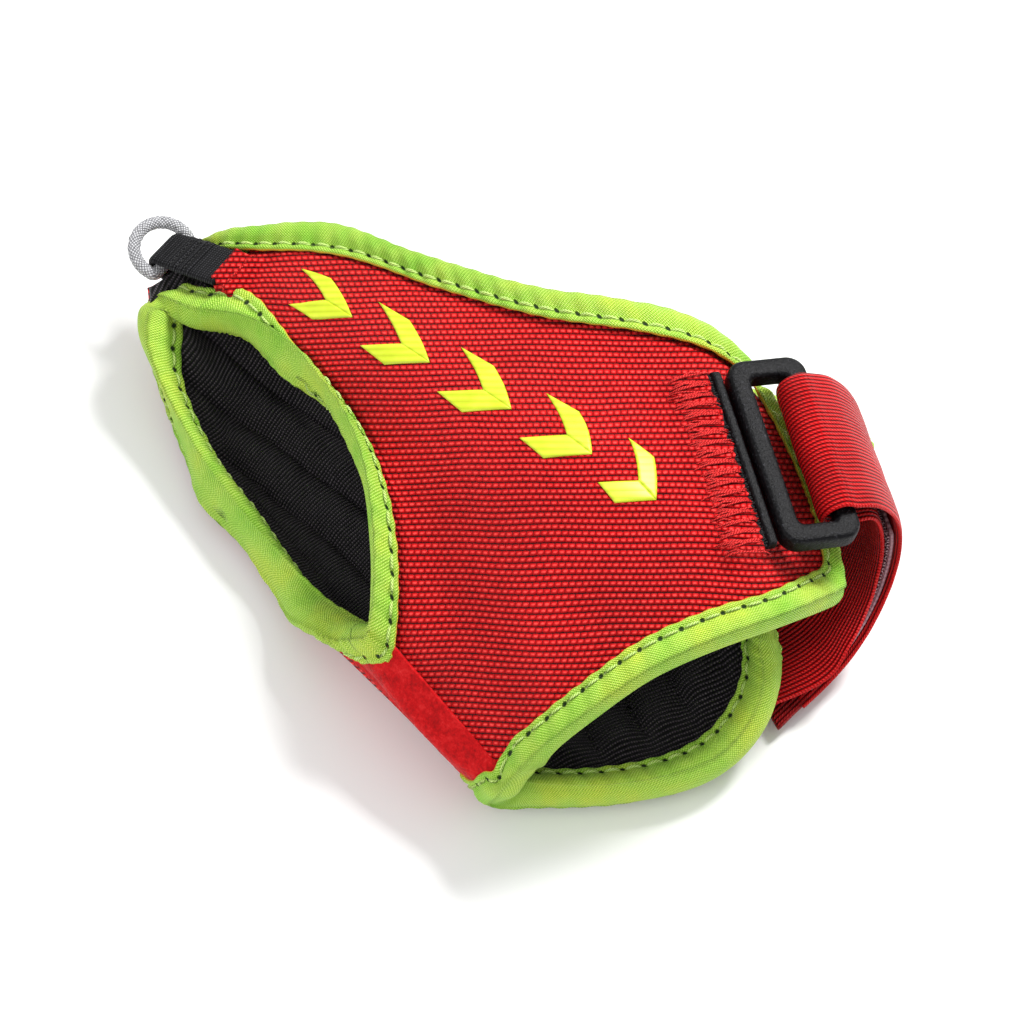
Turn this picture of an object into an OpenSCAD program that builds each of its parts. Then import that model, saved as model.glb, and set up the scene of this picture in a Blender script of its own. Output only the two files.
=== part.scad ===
// Hand harness that clips to the grip of a ski pole: two padded panels round the hand,
// a webbing tab with a cord loop at the thumb, and a wrist strap through a moulded ring.
// It lies palm side down: +X runs towards the little finger, +Y towards the fingertips.

/* [Panels] */
// Thickness of the woven outer fabric
shell_t = 0.8; // [0.6:0.1:1]
// Thickness of the foam padding
padding_t = 1.8; // [1.4:0.1:2.2]
// Thickness of the knitted lining
lining_t = 0.8; // [0.6:0.1:1]
// Height that the back panel crowns over the hand
crown = 4; // [2:0.5:6]
// Depth that the palm panel sags under the hand
sag = 12; // [8:1:16]
// Outward bulge of the strip between the two panels
gusset_bulge = 2; // [0:0.5:3]

/* [Binding and stitches] */
// Width of the folded edge tape on each side of a panel
binding_w = 6; // [5:0.5:7]
// Thickness of the edge tape
binding_t = 0.9; // [0.7:0.1:1.1]
// Stitch pitch
stitch_pitch = 3.5; // [3:0.5:5]
// Radius of the sewing thread
thread_r = 0.3; // [0.2:0.05:0.4]

/* [Tab and cord] */
// Width of the webbing tab
tab_w = 7.6; // [7:0.2:7.8]
// Length of the tab from the panels to its fold
tab_l = 12; // [11:0.5:13]
// Thickness of the webbing
webbing_t = 1.3; // [1:0.1:1.5]
// Diameter of the cord
cord_d = 2.2; // [2:0.1:2.4]
// Radius of the cord loop at its middle
loop_r = 5; // [4.9:0.1:5.3]

/* [Ring] */
// Length of the ring along the strap's width
ring_l = 34.5; // [34:0.5:38]
// Width of the ring across its bars
ring_w = 13.4; // [13:0.2:15]
// Thickness of the ring
ring_t = 3.6; // [3:0.2:4]
// Width of the bars
bar_w = 3.4; // [3:0.2:3.8]

/* [Strap] */
// Thickness of each strap layer
strap_t = 1.2; // [1:0.1:1.4]
// Thickness of the hook tape
hook_t = 1; // [0.8:0.1:1.2]

/* [Hidden] */
$fn = 48;

BACK = 0;
PALM = 1;
panel_t = shell_t + padding_t + lining_t;
step_u = 16;
step_v = 14;
corner_1 = 3 / step_v;
corner_2 = 11 / step_v;
corner_fade = 0.25;
tiny = 0.01;
floor_z = panel_t;
floor_blend = 1;
centre = [-1.3, 6.48, 0];

// Edges of the back panel, on its outer face.
back_thumb = [[-53, 40, 17.5], [-44, 35, 22], [-35, 25, 26.5], [-27.5, 13.5, 28.5],
    [-23, 0.5, 29.5], [-21.5, -11, 27.5], [-21.5, -19, 24], [-22, -23, 20.5]];
back_finger = [[-45.5, 54.5, 20], [-29.5, 50.5, 27], [-14, 40.5, 32.3], [2.3, 32.5, 35.5],
    [18, 28.5, 37], [28, 27.4, 34], [34, 25.2, 31], [38, 22, 28]];
back_tab = [[-53, 40, 17.5], [-45.5, 54.5, 20]];
back_seam = [[-22, -23, 20.5], [-1.5, -47, 13.5]];
back_wrist = [[-1.5, -47, 13.5], [4.5, -43.5, 22], [12, -39.5, 27.5], [21, -34.5, 31.5],
    [31, -29.9, 32.5], [42, -24.5, 30.6], [52, -16.4, 23.5]];
back_tongue = [[52, -16.4, 23.5], [50, -5, 24.5], [46, 5.5, 27], [42, 14.5, 27.5], [38, 22, 28]];

// Edges of the palm panel, on its inner face.
palm_thumb = [[-60.5, 45.5, 17], [-61.5, 37, 13], [-57.5, 27.5, 9.5], [-52, 18, 8],
    [-45.5, 9, 8], [-39, -1, 8], [-33, -9.5, 9], [-25.5, -16.5, 12]];
palm_finger = [[-52.5, 54.5, 16], [-42, 50, 10], [-22, 44, 7], [0, 38, 7],
    [22, 34, 7.5], [42, 28.5, 8.5], [59.5, 19.5, 8.5]];
palm_tab = [[-60.5, 45.5, 17], [-52.5, 54.5, 16]];
palm_fold = [[-25.5, -16.5, 12], [-1.5, -42.5, 8]];
palm_wrist = [[-1.5, -42.5, 8], [3, -43, 6.9], [14, -43, 6.5], [24.5, -41.5, 6.9],
    [33, -38, 7.5], [38.5, -32.5, 10.5], [40.5, -26.5, 13.5], [39.5, -21, 17]];
palm_right = [[39.5, -21, 17], [44.6, -9, 14], [47.6, 4, 13], [51.2, 14, 11.5], [59.5, 19.5, 8.5]];

// Edges of the strap's tail on its outer face, from the ring to its free end.
tail_wrist_edge = [[52.9, -8.8, 37.5], [57.8, -7, 34.3], [61.3, -5.8, 28.5], [62.8, -6.5, 21.5],
    [62, -9.5, 14.5], [59, -14.5, 8.5], [53.5, -20.8, 4.2], [45.5, -28.3, 2]];
tail_finger_edge = [[46.5, 15.8, 37.5], [51.3, 16.8, 34.5], [55, 17, 29], [56.8, 17, 22],
    [56.8, 15, 14.5], [53, 10.5, 8.3], [45.8, 3.5, 4.5], [35.5, -5, 3]];

// The ring's own frame: its origin is on the hinge groove, +X points outwards over the slot.
ring_yaw = 14.5;
ring_pitch = 12;
ring_at = [37.5, 0.4, 36.4];
ring_out = [cos(ring_pitch) * cos(ring_yaw), cos(ring_pitch) * sin(ring_yaw), -sin(ring_pitch)];
ring_along = [-sin(ring_yaw), cos(ring_yaw), 0];
ring_up = [sin(ring_pitch) * cos(ring_yaw), sin(ring_pitch) * sin(ring_yaw), cos(ring_pitch)];
flange_w = 7;
flange_t = 1.2;
panel_clearance = 0.3;
ridge_x = -4.5;
ridge_half = 5.5;
ridge_length = 21;
ridge_rise = [0, -0.55, 1];

// A smooth curve through points p, for t from 0 to 1.
function spline(p, t) =
    let (n = len(p) - 1, s = t * n, i = max(0, min(floor(s), n - 1)), f = s - i)
    let (b = p[i], c = p[i + 1])
    let (a = i > 0 ? p[i - 1] : 2 * b - c, d = i + 2 <= n ? p[i + 2] : 2 * c - b)
    0.5 * (2 * b + (c - a) * f + (2 * a - 5 * b + 4 * c - d) * f * f
        + (-a + 3 * b - 3 * c + d) * f * f * f);

// Three curves end to end, with corners between them.
function side(p, v) =
    v < corner_1 ? spline(p[0], v / corner_1)
    : v < corner_2 ? spline(p[1], (v - corner_1) / (corner_2 - corner_1))
    : spline(p[2], (v - corner_2) / (1 - corner_2));

// The same curves, averaged so that their corners fade away from that side, where u is 1.
function faded_side(p, u, v) =
    let (reach = min(v, 1 - v, corner_fade * (1 - u)))
    [for (k = [0:6]) 1 / 7] * [for (k = [-3:3]) side(p, v + reach * k / 3)];

function unit(a) = a / norm(a);
function mix(a, b, t) = a + (b - a) * t;

// A surface stretched between four edges.
function stretch(near, far, start, end, u, v) =
    let (corners = mix(mix(near[0], near[len(near) - 1], u), mix(far[0], far[len(far) - 1], u), v))
    mix(spline(near, u), spline(far, u), v) + mix(spline(start, v), faded_side(end, u, v), u)
        - corners;

function hump(u, v) = 16 * u * (1 - u) * v * (1 - v);
function above_floor(z) = (z + floor_z + norm([z - floor_z, floor_blend])) / 2;

// The stiff flange holds the back panel up along a ridge, as far as its own underside.
function ridge(p) =
    let (x = (p - ring_at) * ring_out, y = (p - ring_at) * ring_along, z = (p - ring_at) * ring_up)
    let (low = max(0, -flange_t - panel_clearance - z))
    p + ridge_rise * low * exp(-pow((x - ridge_x) / ridge_half, 2) - pow(y / ridge_length, 8));

function surface_point(panel, u, v) =
    panel == BACK
        ? ridge(stretch(back_thumb, back_finger, back_tab, [back_seam, back_wrist, back_tongue], u, v)
            + [0, 0, crown * hump(u, v)])
        : let (s = stretch(palm_thumb, palm_finger, palm_tab,
                    [palm_fold, palm_wrist, palm_right], u, v)
                - [0, 0, sag * pow(hump(u, v), 2)])
            [s.x, s.y, above_floor(s.z)];

// The outward direction of a panel: up on the back, down on the palm.
function panel_normal(panel, u, v) =
    let (a = max(0, u - tiny), b = min(1, u + tiny), c = max(0, v - tiny), d = min(1, v + tiny))
    let (along = surface_point(panel, b, v) - surface_point(panel, a, v))
    let (across = surface_point(panel, u, d) - surface_point(panel, u, c))
    unit(panel == BACK ? cross(along, across) : cross(across, along));

// A point of a panel at height h, where 0 is its outer face and -panel_t its inner face.
function panel_point(panel, u, v, h) =
    surface_point(panel, u, v)
        + panel_normal(panel, u, v) * (panel == BACK ? h : h + panel_t);

// A point of the strip between the panels: s runs along the seam, t from back to palm.
function gusset_point(s, t, h) =
    let (v = s * corner_1)
    let (back = panel_point(BACK, 1, v, h), palm = panel_point(PALM, 1, v, h))
    let (out = unit(panel_normal(BACK, 1, v) + panel_normal(PALM, 1, v)
        + [-1, -1, 0]))
    mix(back, palm, mix(0.05, 0.95, t)) + out * gusset_bulge * sin(180 * t) * sin(180 * s);

function point_on(piece, u, v, h) =
    piece == "gusset" ? gusset_point(u, v, h)
    : panel_point(piece == "back" ? BACK : PALM, u, v, h);

// A closed solid between an outer and an inner grid of points.
module slab(outer, inner) {
    rows = len(outer);
    cols = len(outer[0]);
    all_points = concat([for (row = outer) each row], [for (row = inner) each row]);
    under = rows * cols;
    function quad(a, b, c, d) = [[a, b, c], [a, c, d]];
    faces = concat(
        [for (i = [0:rows - 2], j = [0:cols - 2], tri = quad(i * cols + j, i * cols + j + 1,
            (i + 1) * cols + j + 1, (i + 1) * cols + j)) tri],
        [for (i = [0:rows - 2], j = [0:cols - 2], tri = quad(i * cols + j, i * cols + j + 1,
            (i + 1) * cols + j + 1, (i + 1) * cols + j))
            [under + tri[0], under + tri[2], under + tri[1]]],
        [for (j = [0:cols - 2], tri = quad(j, under + j, under + j + 1, j + 1)) tri],
        [for (j = [0:cols - 2], tri = quad((rows - 1) * cols + j + 1,
            under + (rows - 1) * cols + j + 1, under + (rows - 1) * cols + j,
            (rows - 1) * cols + j)) tri],
        [for (i = [0:rows - 2], tri = quad((i + 1) * cols, under + (i + 1) * cols,
            under + i * cols, i * cols)) tri],
        [for (i = [0:rows - 2], tri = quad(i * cols + cols - 1, under + i * cols + cols - 1,
            under + (i + 1) * cols + cols - 1, (i + 1) * cols + cols - 1)) tri]);
    polyhedron(all_points, faces, convexity = 6);
}

// A solid swept through rings of points; closed joins the last ring to the first.
module loft(rings, closed = false) {
    n = len(rings);
    m = len(rings[0]);
    spans = closed ? n : n - 1;
    faces = [for (i = [0:spans - 1], j = [0:m - 1])
        let (a = i * m + j, b = i * m + (j + 1) % m)
        let (c = ((i + 1) % n) * m + (j + 1) % m, d = ((i + 1) % n) * m + j)
        each [[a, c, b], [a, d, c]]];
    caps = closed ? [] : [[for (j = [0:m - 1]) j], [for (j = [m - 1:-1:0]) (n - 1) * m + j]];
    polyhedron([for (ring = rings) each ring], concat(faces, caps), convexity = 8);
}

module placed() {
    translate(-centre) children();
}

// One layer of a panel, between two heights.
module layer(piece, top, bottom, along = step_u, across = step_v) {
    function grid(h) = [for (i = [0:along]) [for (j = [0:across])
        point_on(piece, i / along, j / across, h)]];
    if (piece != "back") slab(grid(bottom), grid(top));
    else slab(grid(top), grid(bottom));
}

pad_top = -shell_t;
lining_top = -shell_t - padding_t;

module back_shell() { color("red") placed() layer("back", 0, pad_top); }
module back_padding() { color("dimgray") placed() layer("back", pad_top, lining_top); }
module back_lining() { color("black") placed() layer("back", lining_top, -panel_t); }
module palm_shell() { color("red") placed() layer("palm", 0, pad_top); }
module palm_padding() { color("dimgray") placed() layer("palm", pad_top, lining_top); }
module palm_lining() { color("black") placed() layer("palm", lining_top, -panel_t); }

gusset_rows = 3;
gusset_cols = 4;
gusset_split = -panel_t / 2;

module side_gusset() {
    color("firebrick") placed() layer("gusset", 0, gusset_split, gusset_rows, gusset_cols);
}

module gusset_lining() {
    color("black") placed() layer("gusset", gusset_split, -panel_t, gusset_rows, gusset_cols);
}

// Cross-section of the edge tape: inset from the panel's edge, and height.
gap = 0.45;
slack = 0.7;
rim = 1.6;
tape_section = [
    [binding_w, gap], [binding_w, gap + 0.7 * binding_t], [binding_w / 2, gap + 1.5 * binding_t],
    [0.2, gap + binding_t], [-rim, -0.25 * panel_t], [-rim, -0.75 * panel_t],
    [0.2, -panel_t - gap - binding_t], [binding_w / 2, -panel_t - gap - 1.3 * binding_t],
    [binding_w, -panel_t - gap - 0.7 * binding_t], [binding_w, -panel_t - gap],
    [binding_w / 2, -panel_t - 2 * gap], [-slack, -panel_t - gap],
    [-slack, gap], [binding_w / 2, 2.4 * gap]
];

// Points of a section at the edge point (u, v) of a piece, whose inside lies towards (du, dv).
// The tape narrows beside the tab, where u is near 0.
function edge_points(piece, u, v, du, dv, section) =
    let (step = 0.02, edge = point_on(piece, u, v, -panel_t / 2))
    let (inside = point_on(piece, u + du * step, v + dv * step, -panel_t / 2))
    let (out = unit(edge - inside), narrow = piece == "gusset" ? 1 : min(1, 0.55 + 2.5 * u))
    let (scale = norm(inside - edge) / step / narrow)
    [for (p = section)
        p.x >= 0
            ? point_on(piece, u + du * p.x / scale, v + dv * p.x / scale, p.y)
            : point_on(piece, u, v, p.y) - out * p.x];

// Points at place k of each edge, for k from 0 to 1.
function back_thumb_points(k, section) = edge_points("back", k, 0, 0, 1, section);
function palm_thumb_points(k, section) = edge_points("palm", k, 0, 0, 1, section);
function gusset_thumb_points(k, section) = edge_points("gusset", 0, k, 1, 0, section);
function gusset_wrist_points(k, section) = edge_points("gusset", 1, k, -1, 0, section);
function back_finger_points(k, section) = edge_points("back", k, 1, 0, -1, section);
function palm_finger_points(k, section) = edge_points("palm", k, 1, 0, -1, section);
function wrist_points(piece, k, section) =
    let (turn = min(1, k * 6))
    edge_points(piece, 1, mix(corner_1, corner_2, k), -turn, turn - 1, section);
function tongue_points(k, section) =
    edge_points("back", 1, mix(corner_2, 1, k), -1, 0, section);

// Rings that close the thumb opening under the tab.
function thumb_top_rings(section, count) =
    let (from = palm_thumb_points(1 / 16, section), to = back_thumb_points(0, section))
    [for (i = [1:count - 1]) let (k = i / count)
        [for (j = [0:len(from) - 1]) mix(from[j], to[j], k) + tab_out * 1.5 * sin(180 * k)]];

function thumb_rings(section) = concat(
    [for (i = [0:16]) back_thumb_points(i / 16, section)],
    [for (i = [1:3]) gusset_thumb_points(i / 4, section)],
    [for (i = [16:-1:1]) palm_thumb_points(i / 16, section)],
    thumb_top_rings(section, 5));

palm_share = 0.93;
tongue_share = 0.8;
function wrist_rings(section) = concat(
    [for (i = [14:-1:0]) wrist_points("palm", palm_share * i / 14, section)],
    [for (i = [3:-1:1]) gusset_wrist_points(i / 4, section)],
    [for (i = [0:14]) wrist_points("back", i / 14, section)],
    [for (i = [1:4]) tongue_points(tongue_share * i / 4, section)]);

// The tape on the back's finger edge runs on past the panel, beside the tab, and thins out.
tape_past_tab = 6.5;
function back_finger_rings(section) =
    let (last = back_finger_points(0, section))
    concat([for (i = [18:-1:1]) back_finger_points(i / 18, section)],
        [for (i = [0:3]) let (k = i / 3)
            [for (q = last) mix(q, last[3], 0.6 * k) + tab_out * tape_past_tab * k]]);
function palm_finger_rings(section) = [for (i = [0:18]) palm_finger_points(i / 18, section)];

module thumb_binding() {
    color("yellowgreen") placed() loft(thumb_rings(tape_section), true);
}

module back_finger_binding() {
    color("yellowgreen") placed() loft(back_finger_rings(tape_section));
}

module palm_finger_binding() {
    color("yellowgreen") placed() loft(palm_finger_rings(tape_section));
}

module wrist_binding() {
    color("yellowgreen") placed() loft(wrist_rings(tape_section));
}

// One straight stitch between two points.
module stitch(from, to) {
    run = to - from;
    translate(from) rotate([0, acos(run.z / norm(run)), atan2(run.y, run.x)])
        cylinder(r = thread_r, h = norm(run), $fn = 16);
}

stitch_inset = binding_w - 1.3;
stitch_h = gap + 1.6 * binding_t + thread_r;
outer_stitch = [[stitch_inset, stitch_h]];

// Stitches along a row of points, with a short space after each.
module stitch_row(row) {
    for (i = [0:len(row) - 2]) stitch(mix(row[i], row[i + 1], 0.12), mix(row[i], row[i + 1], 0.88));
}

function along(length) = round(length / stitch_pitch);

module thumb_stitching() {
    n = along(88);
    m = along(82);
    color("olive") placed() {
        stitch_row([for (i = [0:n]) back_thumb_points(i / n, outer_stitch)[0]]);
        stitch_row([for (i = [0:m]) palm_thumb_points(i / m, outer_stitch)[0]]);
    }
}

module finger_stitching() {
    n = along(102);
    m = along(118);
    color("olive") placed() {
        stitch_row([for (i = [0:n]) back_finger_points(i / n, outer_stitch)[0]]);
        stitch_row([for (i = [0:m]) palm_finger_points(i / m, outer_stitch)[0]]);
    }
}

module wrist_stitching() {
    n = along(62);
    m = along(56);
    color("olive") placed() {
        stitch_row([for (i = [0:n]) wrist_points("back", i / n, outer_stitch)[0]]);
        stitch_row([for (i = [0:m]) wrist_points("palm", i / m, outer_stitch)[0]]);
    }
}

// The tab's own frame: its origin is the middle of the cord's channel, +X points outwards.
tab_yaw = 143;
tab_pitch = 24;
tab_at = [-58, 53.6, 14.2];
tab_out = [cos(tab_pitch) * cos(tab_yaw), cos(tab_pitch) * sin(tab_yaw), -sin(tab_pitch)];
lower_leg = 0.8;
channel_r = cord_d / 2 + 0.15;
fold_r = channel_r + webbing_t;

module on_tab() {
    placed() translate(tab_at) rotate([0, tab_pitch, tab_yaw]) children();
}

module web_tab() {
    color("black") on_tab() rotate([90, 0, 0]) linear_extrude(tab_w, center = true) difference() {
        union() {
            circle(fold_r);
            translate([-tab_l, channel_r]) square([tab_l, webbing_t]);
            translate([-lower_leg, -fold_r]) square([lower_leg, webbing_t]);
        }
        translate([-tab_l, -fold_r]) square([tab_l - lower_leg, fold_r]);
        circle(channel_r);
        translate([-tab_l, -channel_r]) square([tab_l, 2 * channel_r]);
    }
}

module tab_stitching() {
    color("black") on_tab() for (row = [-1:1], i = [-3:3])
        translate([-5.5 + 1.6 * row, i - 0.35, fold_r + thread_r / 2 + tiny]) rotate([-90, 0, 0])
            cylinder(r = thread_r / 2, h = 0.7, $fn = 16);
}

// The cord's loop: a round arc, closed by a straight run through the channel.
cord_lift = 42;
channel_half = tab_w / 2 + 0.8;
loop_offset = sqrt(loop_r * loop_r - channel_half * channel_half);
loop_half_angle = asin(channel_half / loop_r);

module cord_loop() {
    color("silver") on_tab() rotate([0, -cord_lift, 0]) {
        translate([loop_offset, 0, 0]) rotate([0, 0, loop_half_angle - 180])
            rotate_extrude(angle = 360 - 2 * loop_half_angle)
                translate([loop_r, 0]) circle(d = cord_d);
        for (side = [-1, 1]) translate([0, side * channel_half, 0]) sphere(d = cord_d);
        translate([0, -channel_half, 0]) rotate([-90, 0, 0])
            cylinder(d = cord_d, h = 2 * channel_half);
    }
}

ring_gap = 0.3;
corner_r = 3;
slot_r = 1.2;

module on_ring() {
    placed() translate(ring_at) rotate([0, ring_pitch, ring_yaw]) children();
}

module rounded(width, length, r) {
    for (x = [r, width - r], y = [-1, 1]) translate([x, y * (length / 2 - r)]) circle(r);
    translate([r, -length / 2]) square([width - 2 * r, length]);
    translate([0, r - length / 2]) square([width, length - 2 * r]);
}

module buckle_ring() {
    color("#222222") on_ring() translate([ring_gap, 0, -ring_t / 2]) linear_extrude(ring_t)
        difference() {
            rounded(ring_w, ring_l, corner_r);
            translate([bar_w, 0]) rounded(ring_w - 2 * bar_w, ring_l - 2 * bar_w, slot_r);
        }
}

// The flange that is sewn to the back panel, with a rib beside the groove.
module ring_flange() {
    rib_w = 1.6;
    color("#222222") on_ring() {
        translate([-flange_w, -ring_l / 2 + 1, -flange_t])
            cube([flange_w - ring_gap, ring_l - 2, flange_t]);
        translate([-rib_w - ring_gap, -ring_l / 2 + 1, 0]) cube([rib_w, ring_l - 2, 0.7]);
    }
}

// Zigzag thread over the flange's covered edge.
module flange_stitching() {
    turns = 16;
    zig = (ring_l - 3) / turns;
    color("crimson") on_ring() for (i = [0:turns - 1]) {
        y = -ring_l / 2 + 1.5 + i * zig;
        stitch([-flange_w - 1.2, y, 0.4], [-flange_w + 3.4, y + zig / 2, 0.4]);
        stitch([-flange_w + 3.4, y + zig / 2, 0.4], [-flange_w - 1.2, y + zig, 0.4]);
    }
}

// A point of a strap: s runs along its two edges, w across it, h towards its outer side.
function strap_point(wrist_edge, finger_edge, s, w, h) =
    let (run = spline(wrist_edge, s + tiny) + spline(finger_edge, s + tiny)
        - spline(wrist_edge, s - tiny) - spline(finger_edge, s - tiny))
    let (wrist = spline(wrist_edge, s), finger = spline(finger_edge, s))
    mix(wrist, finger, w) + unit(cross(run, wrist - finger)) * h;

// Part of a strap between two places along it, two heights and two insets from its edges.
module strap_layer(wrist_edge, finger_edge, s, h, w = [0, 1], rows = 14, cols = 4) {
    function grid(height) = [for (i = [0:rows]) [for (j = [0:cols])
        strap_point(wrist_edge, finger_edge, mix(s[0], s[1], i / rows),
            mix(w[0], w[1], j / cols), height)]];
    slab(grid(h[0]), grid(h[1]));
}

module tail_layer(s, h, w = [0, 1], rows = 14, cols = 4) {
    strap_layer(tail_wrist_edge, tail_finger_edge, s, h, w, rows, cols);
}

strap_gap = 0.25;
base_gap = 0.5;
hook_top = strap_t + strap_gap;

// The base follows the tail from below; its ends go to the palm panel and to the ring.
function base_edge(sewn, w, at_ring) = concat([sewn], [for (s = [0.92:-0.12:0.2])
    strap_point(tail_wrist_edge, tail_finger_edge, s, w, hook_top + hook_t + base_gap)], [at_ring]);

module strap_base() {
    wrist_edge = base_edge([33.6, -29.6, 2.2], 0, [51.7, -9.2, 29.4]);
    finger_edge = base_edge([27, -13, 3.2], 1, [45.2, 15.5, 29.4]);
    color("red") placed() strap_layer(wrist_edge, finger_edge, [0, 1], [-strap_t, 0]);
}

// The strap where it turns round the ring's outer bar.
strap_w = 25;
turn_x = ring_gap + ring_w - bar_w / 2;
turn_r = norm([bar_w, ring_t]) / 2 + 0.3;

module strap_turn() {
    color("red") on_ring() translate([turn_x, 0, 0]) rotate([90, 0, 0])
        linear_extrude(strap_w, center = true) difference() {
            circle(turn_r + strap_t);
            circle(turn_r);
            translate([0, -10]) square(20);
        }
}

module strap_tail() {
    color("red") placed() tail_layer([0.025, 0.97], [0, strap_t]);
}

module hook_tape() {
    color("rosybrown") placed()
        tail_layer([0.4, 0.94], [hook_top, hook_top + hook_t], [0.04, 0.96]);
}

module tail_pull() {
    color("darkred") placed() tail_layer([0.975, 1.04], [0, strap_t], [0.02, 0.22], 2, 2);
}

// Plain chevrons printed along the back, in place of any lettering.
print_t = 0.25;
print_h = 0.2;
chevron_from = [0.13, 0.52];
chevron_to = [0.6, 0.63];
chevron_count = 5;
chevron_depth = 0.045;
chevron_tip = 0.05;
first_arm = [-0.015, 0.14];
last_arm = [-0.026, 0.062];

module chevron_leg(a, b, thick) {
    rows = 3;
    function grid(h) = [for (i = [0:rows]) [for (j = [0:1])
        let (q = mix(a, b, i / rows)) panel_point(BACK, q.x + j * thick, q.y, h)]];
    slab(grid(print_h), grid(print_h + print_t));
}

module printed_chevrons() {
    color("greenyellow") placed() for (i = [0:chevron_count - 1]) {
        k = i / (chevron_count - 1);
        at = mix(chevron_from, chevron_to, k);
        arm = mix(first_arm, last_arm, k);
        chevron_leg(at - arm, at + [chevron_tip, 0], chevron_depth);
        chevron_leg(at + [chevron_tip, 0], at + arm, chevron_depth);
    }
}

back_shell();
back_padding();
back_lining();
palm_shell();
palm_padding();
palm_lining();
side_gusset();
gusset_lining();
thumb_binding();
back_finger_binding();
palm_finger_binding();
wrist_binding();
thumb_stitching();
finger_stitching();
wrist_stitching();
web_tab();
tab_stitching();
cord_loop();
ring_flange();
flange_stitching();
buckle_ring();
strap_base();
strap_turn();
strap_tail();
hook_tape();
tail_pull();
printed_chevrons();
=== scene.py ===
import math

import bmesh
import bpy
import numpy as np
from mathutils import Matrix, Vector, noise


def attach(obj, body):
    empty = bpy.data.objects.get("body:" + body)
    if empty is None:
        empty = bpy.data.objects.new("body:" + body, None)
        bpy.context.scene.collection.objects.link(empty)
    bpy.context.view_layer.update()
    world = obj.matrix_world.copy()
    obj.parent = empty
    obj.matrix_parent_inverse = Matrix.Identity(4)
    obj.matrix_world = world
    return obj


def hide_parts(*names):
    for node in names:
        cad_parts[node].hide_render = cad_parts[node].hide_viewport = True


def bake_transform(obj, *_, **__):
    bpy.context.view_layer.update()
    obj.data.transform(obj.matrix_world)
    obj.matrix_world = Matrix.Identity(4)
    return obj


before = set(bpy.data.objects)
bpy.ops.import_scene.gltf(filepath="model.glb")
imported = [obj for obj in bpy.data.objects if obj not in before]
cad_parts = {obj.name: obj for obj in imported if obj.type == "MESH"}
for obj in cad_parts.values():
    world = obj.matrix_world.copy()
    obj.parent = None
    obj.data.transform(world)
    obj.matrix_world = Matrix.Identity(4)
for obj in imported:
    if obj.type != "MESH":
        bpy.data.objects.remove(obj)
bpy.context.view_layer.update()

# Lengths are in millimetres, in the design's own frame. row_point() turns them into the row frame,
# in metres.
MM = 0.001
CENTRE = np.array([-1.3, 6.48, 0.0])
SHELL_T, PADDING_T, LINING_T = 0.8, 1.8, 0.8
PANEL_T = SHELL_T + PADDING_T + LINING_T
CROWN, SAG, BULGE = 4.0, 12.0, 2.0
CORNER_1, CORNER_2, CORNER_FADE = 3 / 14, 11 / 14, 0.25
FLOOR_BLEND = 1.0
TAPE_W, STRAP_GAP, BASE_GAP = 5.1, 0.25, 0.5
STITCH_PITCH, THREAD_R = 3.5, 0.3
TINY = 0.01
BACK, PALM, GUSSET = "back", "palm", "gusset"

back_thumb = [[-53, 40, 17.5], [-44, 35, 22], [-35, 25, 26.5], [-27.5, 13.5, 28.5],
              [-23, 0.5, 29.5], [-21.5, -11, 27.5], [-21.5, -19, 24], [-22, -23, 20.5]]
back_finger = [[-45.5, 54.5, 20], [-29.5, 50.5, 27], [-14, 40.5, 32.3], [2.3, 32.5, 35.5],
               [18, 28.5, 37], [28, 27.4, 34], [34, 25.2, 31], [38, 22, 28]]
back_tab = [[-53, 40, 17.5], [-45.5, 54.5, 20]]
back_seam = [[-22, -23, 20.5], [-1.5, -47, 13.5]]
back_wrist = [[-1.5, -47, 13.5], [4.5, -43.5, 22], [12, -39.5, 27.5], [21, -34.5, 31.5],
              [31, -29.9, 32.5], [42, -24.5, 30.6], [52, -16.4, 23.5]]
back_tongue = [[52, -16.4, 23.5], [50, -5, 24.5], [46, 5.5, 27], [42, 14.5, 27.5], [38, 22, 28]]
palm_thumb = [[-60.5, 45.5, 17], [-61.5, 37, 13], [-57.5, 27.5, 9.5], [-52, 18, 8],
              [-45.5, 9, 8], [-39, -1, 8], [-33, -9.5, 9], [-25.5, -16.5, 12]]
palm_finger = [[-52.5, 54.5, 16], [-42, 50, 10], [-22, 44, 7], [0, 38, 7],
               [22, 34, 7.5], [42, 28.5, 8.5], [59.5, 19.5, 8.5]]
palm_tab = [[-60.5, 45.5, 17], [-52.5, 54.5, 16]]
palm_fold = [[-25.5, -16.5, 12], [-1.5, -42.5, 8]]
palm_wrist = [[-1.5, -42.5, 8], [3, -43, 6.9], [14, -43, 6.5], [24.5, -41.5, 6.9],
              [33, -38, 7.5], [38.5, -32.5, 10.5], [40.5, -26.5, 13.5], [39.5, -21, 17]]
palm_right = [[39.5, -21, 17], [44.6, -9, 14], [47.6, 4, 13], [51.2, 14, 11.5], [59.5, 19.5, 8.5]]
tail_wrist_edge = [[52.9, -8.8, 37.5], [57.8, -7, 34.3], [61.3, -5.8, 28.5], [62.8, -6.5, 21.5],
                   [62, -9.5, 14.5], [59, -14.5, 8.5], [53.5, -20.8, 4.2], [45.5, -28.3, 2]]
tail_finger_edge = [[46.5, 15.8, 37.5], [51.3, 16.8, 34.5], [55, 17, 29], [56.8, 17, 22],
                    [56.8, 15, 14.5], [53, 10.5, 8.3], [45.8, 3.5, 4.5], [35.5, -5, 3]]


def row_point(p):
    """One design point in the row frame, in metres."""
    return tuple(float(x) for x in (np.asarray(p, float) - CENTRE) * MM)


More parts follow.
